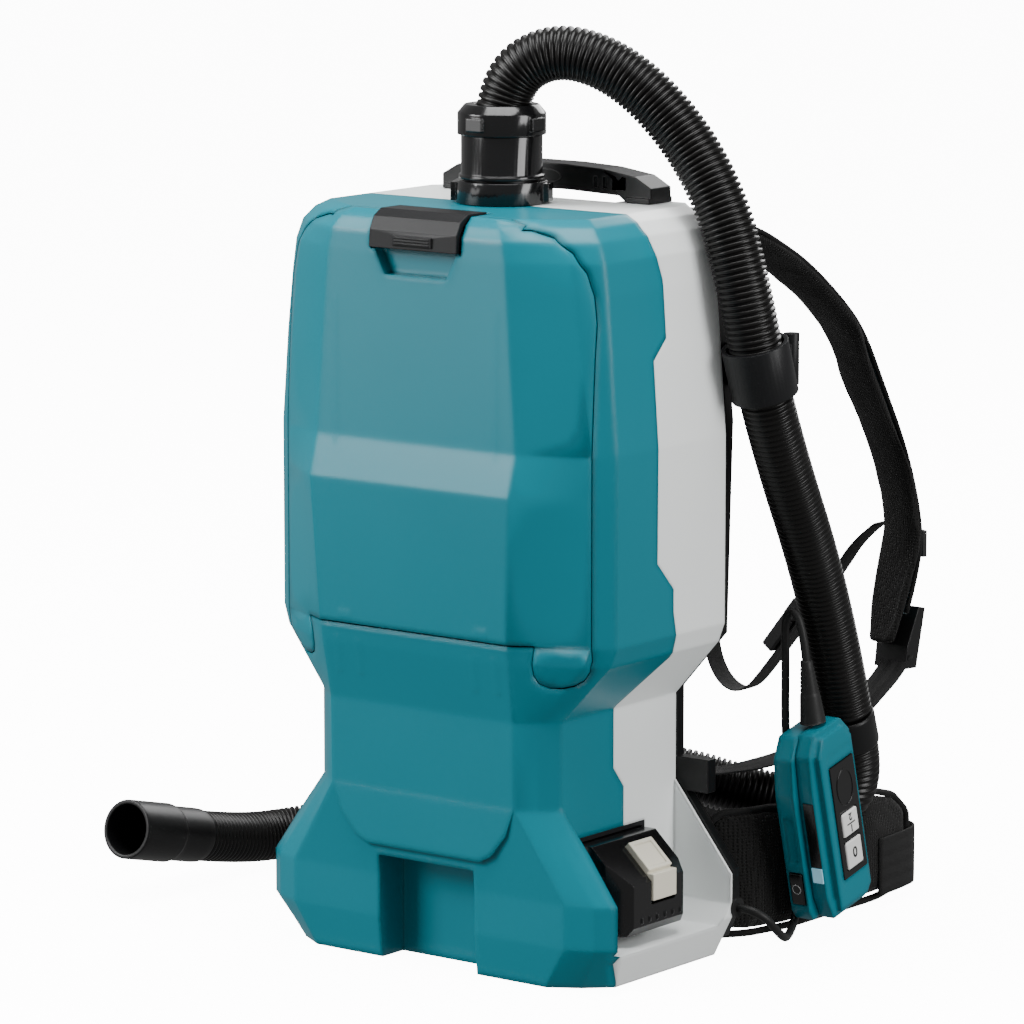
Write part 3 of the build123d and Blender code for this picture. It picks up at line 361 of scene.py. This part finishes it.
def nurbs_curve(name, route):
    """NURBS curve through a route given in millimetres."""
    curve = bpy.data.curves.new(name, "CURVE")
    curve.dimensions = "3D"
    spline = curve.splines.new("NURBS")
    spline.points.add(len(route) - 1)
    for point, place in zip(spline.points, route):
        point.co = (*mm(*place), 1.0)
    spline.order_u = 3
    spline.use_endpoint_u = True
    return curve


def measure(points):
    """Running length along a line of points."""
    lengths = [0.0]
    for a, b in zip(points, points[1:]):
        lengths.append(lengths[-1] + (b - a).length)
    return lengths


def walk(points, places):
    """Position and direction at each distance along a line of points."""
    lengths = measure(points)
    found, index = [], 0
    for place in places:
        place = min(max(place, 0.0), lengths[-1])
        while index < len(lengths) - 2 and lengths[index + 1] < place:
            index += 1
        a, b = points[index], points[index + 1]
        share = (place - lengths[index]) / max(lengths[index + 1] - lengths[index], 1e-9)
        before = points[max(index - 1, 0)]
        after = points[min(index + 2, len(points) - 1)]
        direction = ((b - before).lerp(after - a, share)).normalized()
        found.append((a.lerp(b, share), direction))
    return found


def even_places(points, spacing):
    """Distances along a line of points, evenly spread."""
    total = measure(points)[-1]
    count = max(2, round(total / spacing))
    return [total * i / count for i in range(count + 1)]


def circle(centre, axis, radius, count, side=None):
    """Ring of points round an axis."""
    axis = axis.normalized()
    side = side or axis.orthogonal().normalized()
    up = axis.cross(side).normalized()
    ring = []
    for i in range(count):
        angle = 2 * math.pi * i / count
        ring.append(centre + side * (radius * math.cos(angle)) + up * (radius * math.sin(angle)))
    return ring


def round_tube(name, points, radii, count=32):
    """Tube with one radius for each (distance, radius) pair along a line of points."""
    rings, side, last = [], None, None
    for (position, direction), (_, radius) in zip(walk(points, [d for d, _ in radii]), radii):
        if side is None:
            side = direction.orthogonal().normalized()
        else:
            side = last.rotation_difference(direction) @ side
        side = (side - direction * side.dot(direction)).normalized()
        last = direction
        rings.append(circle(position, direction, radius, count, side))
    return skin(name, rings)


def lathe(name, start, axis, profile, count=64):
    """Turned piece: (distance along the axis, radius) pairs in millimetres, closed on itself."""
    axis = Vector(axis).normalized()
    side = axis.orthogonal().normalized()
    rings = [circle(start + axis * (d * MM), axis, r * MM, count, side) for d, r in profile]
    return skin(name, rings + rings[:1], caps=False)


def rounded(profile, radius, steps=3):
    """Round the corners of a closed (a, b) profile."""
    result, count = [], len(profile)
    for i in range(count):
        p, q, r = (Vector(profile[(i + k) % count]) for k in (-1, 0, 1))
        reach = min(radius, (p - q).length * 0.45, (r - q).length * 0.45)
        start, end = q + (p - q).normalized() * reach, q + (r - q).normalized() * reach
        for k in range(steps + 1):
            t = k / steps
            result.append(tuple(start * (1 - t) ** 2 + q * (2 * t * (1 - t)) + end * t ** 2))
    return result


def stitches(name, places, length=0.0024, radius=0.00035):
    """Row of short threads, one at each (position, direction)."""
    verts, faces, uvs = [], [], []
    for position, direction in places:
        base = len(verts)
        start, end = position - direction * length / 2, position + direction * length / 2
        for centre, size in ((start, 0.35), (start.lerp(end, 0.3), 1.0), (start.lerp(end, 0.7), 1.0),
                             (end, 0.35)):
            verts += circle(centre, direction, radius * size, 6)
        for row in range(3):
            for i in range(6):
                j = (i + 1) % 6
                faces.append((base + row * 6 + i, base + row * 6 + j, base + row * 6 + 6 + j,
                              base + row * 6 + 6 + i))
                uvs += [(0, 0), (0.0005, 0), (0.0005, 0.001), (0, 0.001)]
    return mesh_object(name, verts, faces, uvs)


WELD_DISTANCE = 0.00002
FLAT_ANGLE = math.radians(0.6)    # faces closer than this to one plane are merged


def soften(name, width, segments=2, limit=24.0):
    """Round the edges of a CAD node with modifiers; its own mesh isn't changed."""
    obj = nodes[name]
    weld = obj.modifiers.new("weld", "WELD")
    weld.merge_threshold = WELD_DISTANCE
    flat = obj.modifiers.new("flatten", "DECIMATE")
    flat.decimate_type = "DISSOLVE"
    flat.angle_limit = FLAT_ANGLE
    bevel = obj.modifiers.new("edges", "BEVEL")
    bevel.width = width
    bevel.segments = segments
    bevel.limit_method = "ANGLE"
    bevel.angle_limit = math.radians(limit)
    bevel.harden_normals = True
    bevel.miter_outer = "MITER_ARC"
    bevel.use_clamp_overlap = True


# ---------------------------------------------------------------- cords
HOSE_ROUTE = [
    (0, -16, 578.3), (0, -16, 614), (32, 0, 639), (76, 19, 626), (116, 36, 585), (148, 42, 533),
    (164, 47, 470), (168, 62, 406), (167, 91, 345), (164, 131, 277), (162, 162, 208),
    (160, 182, 154),
]
HOSE_TAIL = [
    (159.2, 190, 132.4), (157.9, 203, 97.3), (130, 193, 78), (90, 158, 92), (45, 128, 108),
    (-20, 114, 105), (-85, 113, 95), (-140, 114, 90), (-190, 118, 66), (-240, 121, 34),
    (-284, 100, 22), (-301, 52, 22), (-301, 0, 34.4),
]
CABLE_ROUTE = [
    (157, 53, 36), (176, 53, 36), (178, 78, 12), (163, 106, 5.6), (153.5, 128, 11),
    (152.6, 137, 38), (152.6, 126, 92), (152.6, 115, 150), (152.8, 115, 205), (153.5, 112, 240),
    (170.2, 108.2, 240), (172, 112.5, 206),
]
HOSE_R, HOSE_VALLEY, RIB_SHOULDER = 0.019, 0.0168, 0.0187
RIB_PITCH = 0.0041
RIB_SHAPE = [(0.0, HOSE_VALLEY), (0.22, HOSE_VALLEY), (0.36, RIB_SHOULDER), (0.5, HOSE_R),
             (0.72, HOSE_R), (0.86, RIB_SHOULDER)]


def ribbed_hose(name, route):
    """Corrugated hose along a route; returns it and its line."""
    line = smooth_line(route)
    total = measure(line)[-1]
    radii = [(0.0, HOSE_VALLEY)]
    place = 0.0
    while place + RIB_PITCH < total:
        radii += [(place + share * RIB_PITCH, radius) for share, radius in RIB_SHAPE]
        place += RIB_PITCH
    radii.append((total, HOSE_VALLEY))
    hose = round_tube(name, line, radii, 40)
    return own(hose, "hose_plastic"), line


hose_upper, upper_line = ribbed_hose("ribbed_hose_upper", HOSE_ROUTE)
hose_tail, tail_line = ribbed_hose("ribbed_hose_tail", HOSE_TAIL)
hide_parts("hose_upper")
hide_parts("hose_tail")


def plain_cord(name, route, radius, slot):
    """Smooth round cord as a bevelled curve."""
    curve = nurbs_curve(name, route)
    curve.resolution_u = 24
    curve.bevel_depth = radius
    curve.bevel_resolution = 6
    curve.use_fill_caps = True
    return own(link(bpy.data.objects.new(name, curve)), slot)


cable = plain_cord("control_cable", CABLE_ROUTE, 0.003, "soft_rubber")
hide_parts("cable")

# Tapered boot on the controller's top, with flex rings near its thin end.
BOOT_TOP, BOOT_FOOT = mm(172, 112.5, 206), mm(174.39, 118.2, 160.8)
BOOT_LENGTH = (BOOT_TOP - BOOT_FOOT).length / MM


def make_boot():
    """Tapered boot; every other step of its thin end is a flex ring."""
    outline = [(0, 0.5), (0, 9.4)]
    outline += [(i * 3.0 + k, 9.3 - 0.105 * (i * 3.0 + k) - (0.7 if k == 1.5 and i > 6 else 0.0))
                for i in range(14) for k in (0.0, 1.5)]
    outline += [(BOOT_LENGTH - 1.0, 4.4), (BOOT_LENGTH, 3.6), (BOOT_LENGTH, 0.5)]
    boot = lathe("flex_boot", BOOT_FOOT, BOOT_TOP - BOOT_FOOT, outline, 40)
    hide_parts("cable_boot")
    return own(boot, "soft_rubber")


boot = make_boot()

# Hose pieces turned on a lathe: coupling behind the controller and cuff at the free end.
COUPLING_START, COUPLING_END = mm(160, 182, 154), mm(159.2, 190, 132.4)
COUPLING_LENGTH = (COUPLING_END - COUPLING_START).length / MM
CUFF_START, CUFF_AXIS = mm(-301, 0, 34.4), Vector((0, -1, 0.2385))


def make_coupling():
    """Smooth sleeve that joins the two hose lengths."""
    outline = [(-1, 16.6), (-1, 19.4), (0.6, 20.2), (COUPLING_LENGTH - 0.6, 20.2),
               (COUPLING_LENGTH + 1, 19.4), (COUPLING_LENGTH + 1, 16.6)]
    coupling = lathe("smooth_coupling", COUPLING_START, COUPLING_END - COUPLING_START,
                     rounded(outline, 0.8))
    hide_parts("hose_coupling")
    return own(coupling, "black_plastic")


def make_cuff():
    """Open cuff at the free end of the hose."""
    outer = [(0, 17.2), (0, 20.0), (6, 20.4), (30, 20.4), (33.5, 20.6), (36, 22.0), (74, 22.0),
             (80, 22.0)]
    inner = [(80, 18.6), (30, 18.5), (29, 17.0), (8, 17.0)]
    cuff = lathe("open_cuff", CUFF_START, CUFF_AXIS, rounded(outer + inner, 1.1, 4), 72)
    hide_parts("hose_end_cuff")
    return own(cuff, "black_plastic")


coupling = make_coupling()
cuff = make_cuff()

# ---------------------------------------------------------------- soft goods: helpers
def level(table, share):
    """Value at a share of the way along a list of (share, value) pairs."""
    for (s0, v0), (s1, v1) in zip(table, table[1:]):
        if share <= s1:
            return v0 + (v1 - v0) * max(share - s0, 0.0) / (s1 - s0)
    return table[-1][1]


def soft_section(half_width, half_height, power, count=32, crown=0.0):
    """(across, out) pairs round a soft section whose edges droop by the crown, in millimetres."""
    pairs = []
    for i in range(count):
        angle = 2 * math.pi * i / count
        c, s = math.cos(angle), math.sin(angle)
        u = math.copysign(abs(c) ** (2 / power), c)
        v = math.copysign(abs(s) ** (2 / power), s)
        pairs.append((u * half_width, v * half_height - crown * u * u))
    return pairs


def keep_shape(obj):
    """Make the result of an object's modifiers its own mesh."""
    depsgraph = bpy.context.evaluated_depsgraph_get()
    mesh = bpy.data.meshes.new_from_object(obj.evaluated_get(depsgraph))
    obj.modifiers.clear()
    obj.data = mesh


CLOTH_PRESSURE, CLOTH_QUALITY, CLOTH_FRAMES = 4.0, 6, 20


def puff(obj, cap, voxel=None, shrink=0.0):
    """Swell a padded piece along the cloth solver's movement, cut off at the cap.

    The solver moves most points of the straps, wings and back pads further than the cap, so there
    it gives the direction and the cap gives the distance.
    """
    if voxel is not None:
        remesh = obj.modifiers.new("remesh", "REMESH")
        remesh.mode = "VOXEL"
        remesh.voxel_size = voxel
        keep_shape(obj)
    normals = [vertex.normal.copy() for vertex in obj.data.vertices]
    for vertex, normal in zip(obj.data.vertices, normals):
        vertex.co -= normal * shrink
    cloth = obj.modifiers.new("cloth", "CLOTH")
    cloth.settings.use_pressure = True
    cloth.settings.uniform_pressure_force = CLOTH_PRESSURE
    cloth.settings.effector_weights.gravity = 0.0
    cloth.settings.quality = CLOTH_QUALITY
    cloth.collision_settings.use_collision = False
    for number in range(1, CLOTH_FRAMES + 1):
        bpy.context.scene.frame_set(number)
    swollen = obj.evaluated_get(bpy.context.evaluated_depsgraph_get()).data
    places = [vertex.co.copy() for vertex in swollen.vertices]
    obj.modifiers.clear()
    bpy.context.scene.frame_set(1)
    for vertex, place in zip(obj.data.vertices, places):
        step = place - vertex.co
        vertex.co += step.normalized() * min(step.length, cap)
    finer = obj.modifiers.new("finer", "SUBSURF")
    finer.levels = finer.render_levels = 1
    keep_shape(obj)
    obj.data.shade_smooth()


def crumple(obj, scale, height):
    """Shallow uneven folds over a soft piece."""
    for vertex in obj.data.vertices:
        fold = noise.noise(vertex.co * scale) + 0.5 * noise.noise(vertex.co * scale * 2.3)
        vertex.co += vertex.normal * fold * height


def soft_copy(name, node):
    """A soft CAD solid as a mesh of its own, ready to be puffed."""
    copy = link(bpy.data.objects.new(name, nodes[node].data.copy()))
    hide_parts(node)
    return copy


def both_sides(obj):
    """Add the left-hand twin of a right-hand piece."""
    twin = obj.modifiers.new("both_sides", "MIRROR")
    twin.use_mirror_merge = False
    return obj


def band(name, line, side, width, thickness, wave=0.0):
    """Flat webbing along a line, lying across one direction; sizes in millimetres."""
    section = soft_section(width / 2, thickness / 2, 7.0, 24)
    rings = []
    for position, direction in walk(line, even_places(line, 0.004)):
        out = side.cross(direction).normalized()
        lift = noise.noise(position * 22.0) * wave
        rings.append([position + (side * u + out * (v + lift)) * MM for u, v in section])
    return skin(name, rings)


# ---------------------------------------------------------------- shoulder straps
STRAP_LINE = [(74, 517), (104, 507), (138, 492), (174, 475), (221, 445), (251, 420), (281, 376),
              (312, 327), (330, 283), (335, 253), (323, 212), (311, 180)]
STRAP_MIDDLE = [110, 110, 110, 109, 107, 106, 105, 105, 105, 105, 105, 105]
STRAP_TURN = [0, 2, 6, 11, 17, 20, 23, 25, 26, 26, 24, 18]
PAD_HALF_WIDTH = [(0.0, 14.0), (0.05, 20.0), (0.12, 23.0), (0.84, 23.0), (0.93, 19.5), (1.0, 13.5)]
PAD_HALF_HEIGHT = [(0.0, 3.6), (0.06, 5.2), (0.90, 5.4), (1.0, 3.2)]
FACE_HALF_WIDTH = [(0.0, 11.0), (0.03, 16.0), (0.10, 21.5), (0.84, 21.5), (0.92, 18.0), (0.96, 14.5)]
FACE_LIFT, FACE_HALF_HEIGHT, FACE_CROWN = 6.5, 1.9, 2.4
FACE_END = 0.955


def strap_frames(share_end=1.0, spacing=0.005):
    """(share, position, across, out) down the right-hand strap."""
    corners = [mm(x, y, z) for x, (y, z) in zip(STRAP_MIDDLE, STRAP_LINE)]
    reached = measure(corners)
    turns = [(place / reached[-1], turn) for place, turn in zip(reached, STRAP_TURN)]
    line = smooth_line([(x, y, z) for x, (y, z) in zip(STRAP_MIDDLE, STRAP_LINE)])
    total = measure(line)[-1]
    places = [place for place in even_places(line, spacing) if place <= total * share_end]
    frames = []
    for place, (position, direction) in zip(places, walk(line, places)):
        turn = math.radians(level(turns, place / total))
        flat = Vector((math.cos(turn), -math.sin(turn), 0.0))
        across = (flat - direction * flat.dot(direction)).normalized()
        frames.append((place / total, position, across, across.cross(direction)))
    return frames


def make_shoulder_pads():
    """Padded core of both shoulder straps."""
    rings = []
    for share, position, across, out in strap_frames():
        section = soft_section(level(PAD_HALF_WIDTH, share), level(PAD_HALF_HEIGHT, share), 2.8)
        rings.append([position + (across * u + out * v) * MM for u, v in section])
    pads = skin("padded_straps", rings)
    puff(pads, 0.0022, shrink=0.0006)
    crumple(pads, 38.0, 0.0007)
    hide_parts("shoulder_pads")
    return both_sides(own(pads, "black_fabric"))


def make_strap_faces():
    """Teal cloth face on each strap, with its binding tape and a row of stitches down each edge."""
    frames = strap_frames(FACE_END)
    rings = []
    for share, position, across, out in frames:
        section = soft_section(level(FACE_HALF_WIDTH, share), FACE_HALF_HEIGHT, 2.6, 40, FACE_CROWN)
        rings.append([position + (across * u + out * (v + FACE_LIFT)) * MM for u, v in section])
    face = skin("strap_cloth_face", rings)
    crumple(face, 30.0, 0.0005)
    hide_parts("shoulder_covers")
    both_sides(own(face, "teal_fabric"))
    for side, word in ((-1, "inner"), (1, "outer")):
        edge, seam = [], []
        for share, position, across, out in frames:
            half = level(FACE_HALF_WIDTH, share)
            edge.append(position + (across * side * half + out * (FACE_LIFT - FACE_CROWN)) * MM)
            seam.append(position + (across * side * (half - 3.6) + out * (FACE_LIFT + 0.25)) * MM)
        radii = [(place, 0.0017) for place in even_places(edge, 0.005)]
        tape = round_tube("strap_binding_" + word, edge, radii, 14)
        both_sides(own(tape, "black_webbing", material=BINDING))
        row = stitches("strap_stitches_" + word, walk(seam, even_places(seam, 0.0042)))
        both_sides(own(row, "black_webbing", material=THREAD))


make_shoulder_pads()
make_strap_faces()

# ---------------------------------------------------------------- webbing
WEBBING_LINE = [(71, 124), (110, 119), (150, 118), (190, 118), (225, 123), (262, 134), (292, 148),
                (313, 159)]
LOCK_SLOT = (326, 170)          # inside the ladder lock
CHEST_LINE = [(-79, 264), (-79, 200), (-77, 160), (-70, 136), (-56, 122), (-40, 122), (-24, 138),
              (42, 223), (60, 250), (79, 264)]
BELT_WEB_LINE = [(152.4, 238), (150.5, 284), (142, 301), (120, 310), (84, 313.6), (0, 314.2)]


def make_webbing():
    """Flat webbing under the straps, across the chest and round the belt."""
    line = smooth_line([(110, y, z) for y, z in WEBBING_LINE + [LOCK_SLOT]])
    lower = band("lower_strap_webbing", line, Vector((1, 0, 0)), 24.0, 1.7, wave=0.6)
    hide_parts("shoulder_webbing")
    both_sides(own(lower, "black_webbing"))
    line = smooth_line([(x, 346, z) for x, z in CHEST_LINE])
    chest = band("chest_strap_webbing", line, Vector((0, 1, 0)), 20.0, 1.5)
    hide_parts("chest_webbing")
    own(chest, "black_webbing")
    half = [(x, y, 30) for x, y in BELT_WEB_LINE]
    line = smooth_line(half + [(-x, y, z) for x, y, z in reversed(half[:-1])])
    belt = band("belt_strap_webbing", line, Vector((0, 0, 1)), 43.0, 2.0, wave=0.4)
    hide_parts("belt_webbing")
    own(belt, "black_webbing")


make_webbing()

# ---------------------------------------------------------------- padded belt, back and bag
BELT_LINE = [(75.5, 113), (98, 132), (135, 141), (180, 142), (235, 143), (286, 141)]   # y, x
EDGE_STEP = 9.0                 # the piping follows the wing's curve in steps this long
BELT_TIP = [(84, 5), (250, 5), (290, 10), (290, 62), (270, 78), (244, 85), (230, 82), (212, 58)]
BELT_ROOTS = {1: [(168, 58), (148, 88), (120, 94), (84, 94), (74, 84), (74, 10)],
              -1: [(74, 58), (74, 10)]}
CHANNEL_HEIGHTS = (0.215, 0.275, 0.335, 0.395)
CHANNEL_DEPTH, CHANNEL_HALF_WIDTH = 0.0036, 0.0042
CHANNELS_BEYOND_Y, CHANNELS_ABOVE_Z = 0.074, 0.15


def make_belt():
    """Padded wings with piping round their edges."""
    wings = soft_copy("padded_belt_wings", "belt_pads")
    puff(wings, 0.0034, voxel=0.0045, shrink=0.0016)
    crumple(wings, 26.0, 0.0006)
    own(wings, "black_fabric")
    for side, root in BELT_ROOTS.items():
        loop, outline = BELT_TIP + root, []
        for (y0, z0), (y1, z1) in zip(loop, loop[1:] + loop[:1]):
            parts = max(1, round(math.hypot(y1 - y0, z1 - z0) / EDGE_STEP))
            outline += [(y0 + (y1 - y0) * i / parts, z0 + (z1 - z0) * i / parts)
                        for i in range(parts)]
        edge = smooth_line([(side * level(BELT_LINE, y), y, z) for y, z in outline + loop[:1]], 4)
        radii = [(place, 0.0026) for place in even_places(edge, 0.005)]
        piping = round_tube("belt_piping_%s" % ("right" if side > 0 else "left"), edge, radii, 16)
        own(piping, "black_webbing", material=BINDING)


def make_back_pads():
    """Back pads with shallow channels pressed across them."""
    pads = soft_copy("padded_back", "back_pads")
    puff(pads, 0.005, voxel=0.005, shrink=0.0022)
    for vertex in pads.data.vertices:
        if vertex.co.y > CHANNELS_BEYOND_Y and vertex.co.z > CHANNELS_ABOVE_Z:
            near = min(abs(vertex.co.z - height) for height in CHANNEL_HEIGHTS)
            vertex.co.y -= CHANNEL_DEPTH * math.exp(-(near / CHANNEL_HALF_WIDTH) ** 2)
    crumple(pads, 24.0, 0.0005)
    own(pads, "black_fabric")


def make_dust_bag():
    """Dust bag inside the case, seen when the lid is down."""
    bag = soft_copy("fleece_dust_bag", "dust_bag")
    puff(bag, 0.010, voxel=0.006, shrink=0.005)
    crumple(bag, 18.0, 0.003)
    own(bag, "paper_bag")


make_belt()
make_back_pads()
make_dust_bag()

# ---------------------------------------------------------------- marks on the hand control
CONTROL_ORIGIN = mm(174.5, 131, 88)
CONTROL_TILT = math.radians(14)
CONTROL_ACROSS = Vector((0.0, math.cos(CONTROL_TILT), math.sin(CONTROL_TILT)))
CONTROL_UP = Vector((0.0, -math.sin(CONTROL_TILT), math.cos(CONTROL_TILT)))
CONTROL_OUT = Vector((1.0, 0.0, 0.0))
PRINT_HALF_THICKNESS, PRINT_SPREAD = 0.00008, 0.00022
KEY_FACE = 18.25                # height of the print above the control's middle


def on_control(x, y, z):
    """Point in the hand control's own axes, in millimetres."""
    return CONTROL_ORIGIN + (CONTROL_ACROSS * x + CONTROL_UP * y + CONTROL_OUT * z) * MM


def figure(name, text, x, y, size, body, turned=False):
    """Printed figure on a key, a sixth of a millimetre thick."""
    curve = bpy.data.curves.new(name, "FONT")
    curve.body = text
    curve.size = size * MM
    curve.extrude = PRINT_HALF_THICKNESS
    curve.offset = PRINT_SPREAD
    curve.align_x, curve.align_y = "CENTER", "CENTER"
    printed = link(bpy.data.objects.new(name, curve))
    turn = -1.0 if turned else 1.0
    axes = Matrix((CONTROL_ACROSS * turn, CONTROL_UP * turn, CONTROL_OUT)).transposed()
    printed.matrix_world = Matrix.Translation(on_control(x, y, KEY_FACE)) @ axes.to_4x4()
    return own(printed, "white_key", body, PRINT)


def oval_ring(name, centre, across, up, half, radius, slot, body="pack", material=None):
    """Thin raised line round an oval."""
    out = across.cross(up)
    rings = []
    for i in range(48):
        angle = 2 * math.pi * i / 48
        spoke = (across * half[0] * math.cos(angle) + up * half[1] * math.sin(angle)) * MM
        rings.append([centre + spoke + (spoke.normalized() * math.cos(a) + out * math.sin(a))
                      * radius * MM for a in (2 * math.pi * k / 10 for k in range(10))])
    return own(skin(name, rings + rings[:1], caps=False), slot, body, material)


def make_control_marks():
    """Figures on the keys and thin raised lines round the ovals."""
    figure("figure_two", "2", 9, 1.2, 7.6, "speed_key", turned=True)
    figure("figure_one", "1", 9, -8.2, 7.6, "speed_key")
    figure("key_divider", "—", 9, -3.5, 9.0, "speed_key")
    figure("figure_zero", "0", 9, -27, 11.0, "stop_key")
    oval_ring("display_rim", on_control(9, 24, 17.1), CONTROL_ACROSS, CONTROL_UP, (9.5, 13.5), 0.5,
              "gloss_black")
    oval_ring("link_key_rim", on_control(-31.0, -42.5, -8.0), CONTROL_OUT, CONTROL_UP, (3.4, 3.4),
              0.22, "white_key", "link_key", PALE_PRINT)
    oval_ring("handle_oval", mm(0, 33.9, 545), Vector((1, 0, 0)), Vector((0, 0, 1)), (14, 4.6), 0.5,
              "black_plastic")


make_control_marks()


# ---------------------------------------------------------------- CAD nodes that keep their shape
NODE_EDGES = {                  # edge width, segments, least angle in degrees
    "front_housing": (0.0022, 3, 7.0), "cover": (0.0018, 3, 7.0), "rear_housing": (0.002, 3, 7.0),
    "base_plate": (0.0006, 2, 30.0), "latch_lever": (0.0008, 3, 18.0),
    "battery_right": (0.0012, 3, 24.0), "battery_left": (0.0012, 3, 24.0),
    "battery_button_right": (0.0008, 3, 24.0), "battery_button_left": (0.0008, 3, 24.0),
    "carry_handle": (0.0065, 5, 20.0), "back_frame": (0.0015, 2, 24.0),
    "hose_holder": (0.001, 2, 30.0), "lock_ring": (0.0009, 2, 30.0),
    "strap_buckles": (0.0012, 3, 24.0), "chest_buckle_female": (0.0018, 3, 24.0),
    "chest_buckle_male": (0.0018, 3, 24.0), "waist_buckle_female": (0.0024, 3, 24.0),
    "waist_buckle_male": (0.0024, 3, 24.0), "controller_front": (0.0016, 3, 24.0),
    "controller_back": (0.0016, 3, 24.0), "label_panel": (0.0006, 2, 24.0),
    "key_speed": (0.0014, 3, 24.0), "key_off": (0.0014, 3, 24.0),
    "wireless_key": (0.001, 3, 24.0), "indicator_lens": (0.0004, 2, 24.0),
    "belt_clip": (0.0008, 2, 24.0), "inlet_tube": (0.0014, 3, 30.0),
    "hose_collar": (0.0012, 3, 30.0),
}


def dress_cad_nodes():
    """Every CAD node gets its slot's material; the ones listed get rounded edges too."""
    for entry in frame["record"]["subparts"]:
        wear(nodes[entry["node"]], MATERIALS[entry["material_slot"]])
    for name, (width, segments, limit) in NODE_EDGES.items():
        soften(name, width, segments, limit)


dress_cad_nodes()


# ---------------------------------------------------------------- light and floor
WORLD_LIGHT, FLOOR_GLOW = 0.32, 12.0
FLOOR_RADIUS, FLOOR_HEIGHT = 40.0, -0.0004
LIGHTS = {                      # location, target, size, power
    "key_light": ((-1.9, -2.3, 1.9), (0, 0, 0.36), (1.6, 1.4), 122),
    # Low panel that the lid mirrors near its top.
    "sheen_panel": ((-1.5, -1.96, 0.36), (0, -0.1, 0.36), (1.1, 0.66), 7),
    "side_light": ((3.0, 0.2, 1.1), (0, 0, 0.3), (1.2, 1.8), 70),
    "top_light": ((0.1, -0.2, 2.4), (0, 0, 0.4), (1.8, 1.4), 76),
    "back_light": ((-0.6, 2.8, 1.8), (0, 0, 0.4), (1.6, 1.6), 40),
}


def area_light(name, location, target, size, power):
    """White rectangular light that faces its target."""
    data = bpy.data.lights.new(name, "AREA")
    data.shape = "RECTANGLE"
    data.size, data.size_y = size
    data.energy = power
    lamp = link(bpy.data.objects.new(name, data))
    lamp.location = location
    lamp.rotation_euler = (Vector(location) - Vector(target)).to_track_quat("Z", "Y").to_euler()


def make_studio():
    """Pale world, glowing pale floor and the soft lights."""
    world = bpy.data.worlds.new("studio")
    world.use_nodes = True
    world.node_tree.nodes["Background"].inputs["Color"].default_value = (1.0, 1.0, 1.0, 1.0)
    world.node_tree.nodes["Background"].inputs["Strength"].default_value = WORLD_LIGHT
    bpy.context.scene.world = world
    s = Shader("pale_floor", Roughness=0.9, Specular_IOR_Level=0.0, Emission_Color=(1, 1, 1, 1),
               Emission_Strength=FLOOR_GLOW)
    s.wire(s.mix(s.spread(s.noise(3.0, 3.0), 0.0, 1.0), (0.9, 0.9, 0.9, 1), (0.93, 0.93, 0.93, 1)),
           "Base Color")
    ring = circle(Vector((0, 0, FLOOR_HEIGHT)), Vector((0, 0, 1)), FLOOR_RADIUS, 64)
    floor = mesh_object("floor", ring, [tuple(range(64))], smooth=False)
    floor.data.materials.append(s.material)
    floor.visible_diffuse = False
    floor.visible_glossy = False
    for name, (location, target, size, power) in LIGHTS.items():
        area_light(name, location, target, size, power)


make_studio()
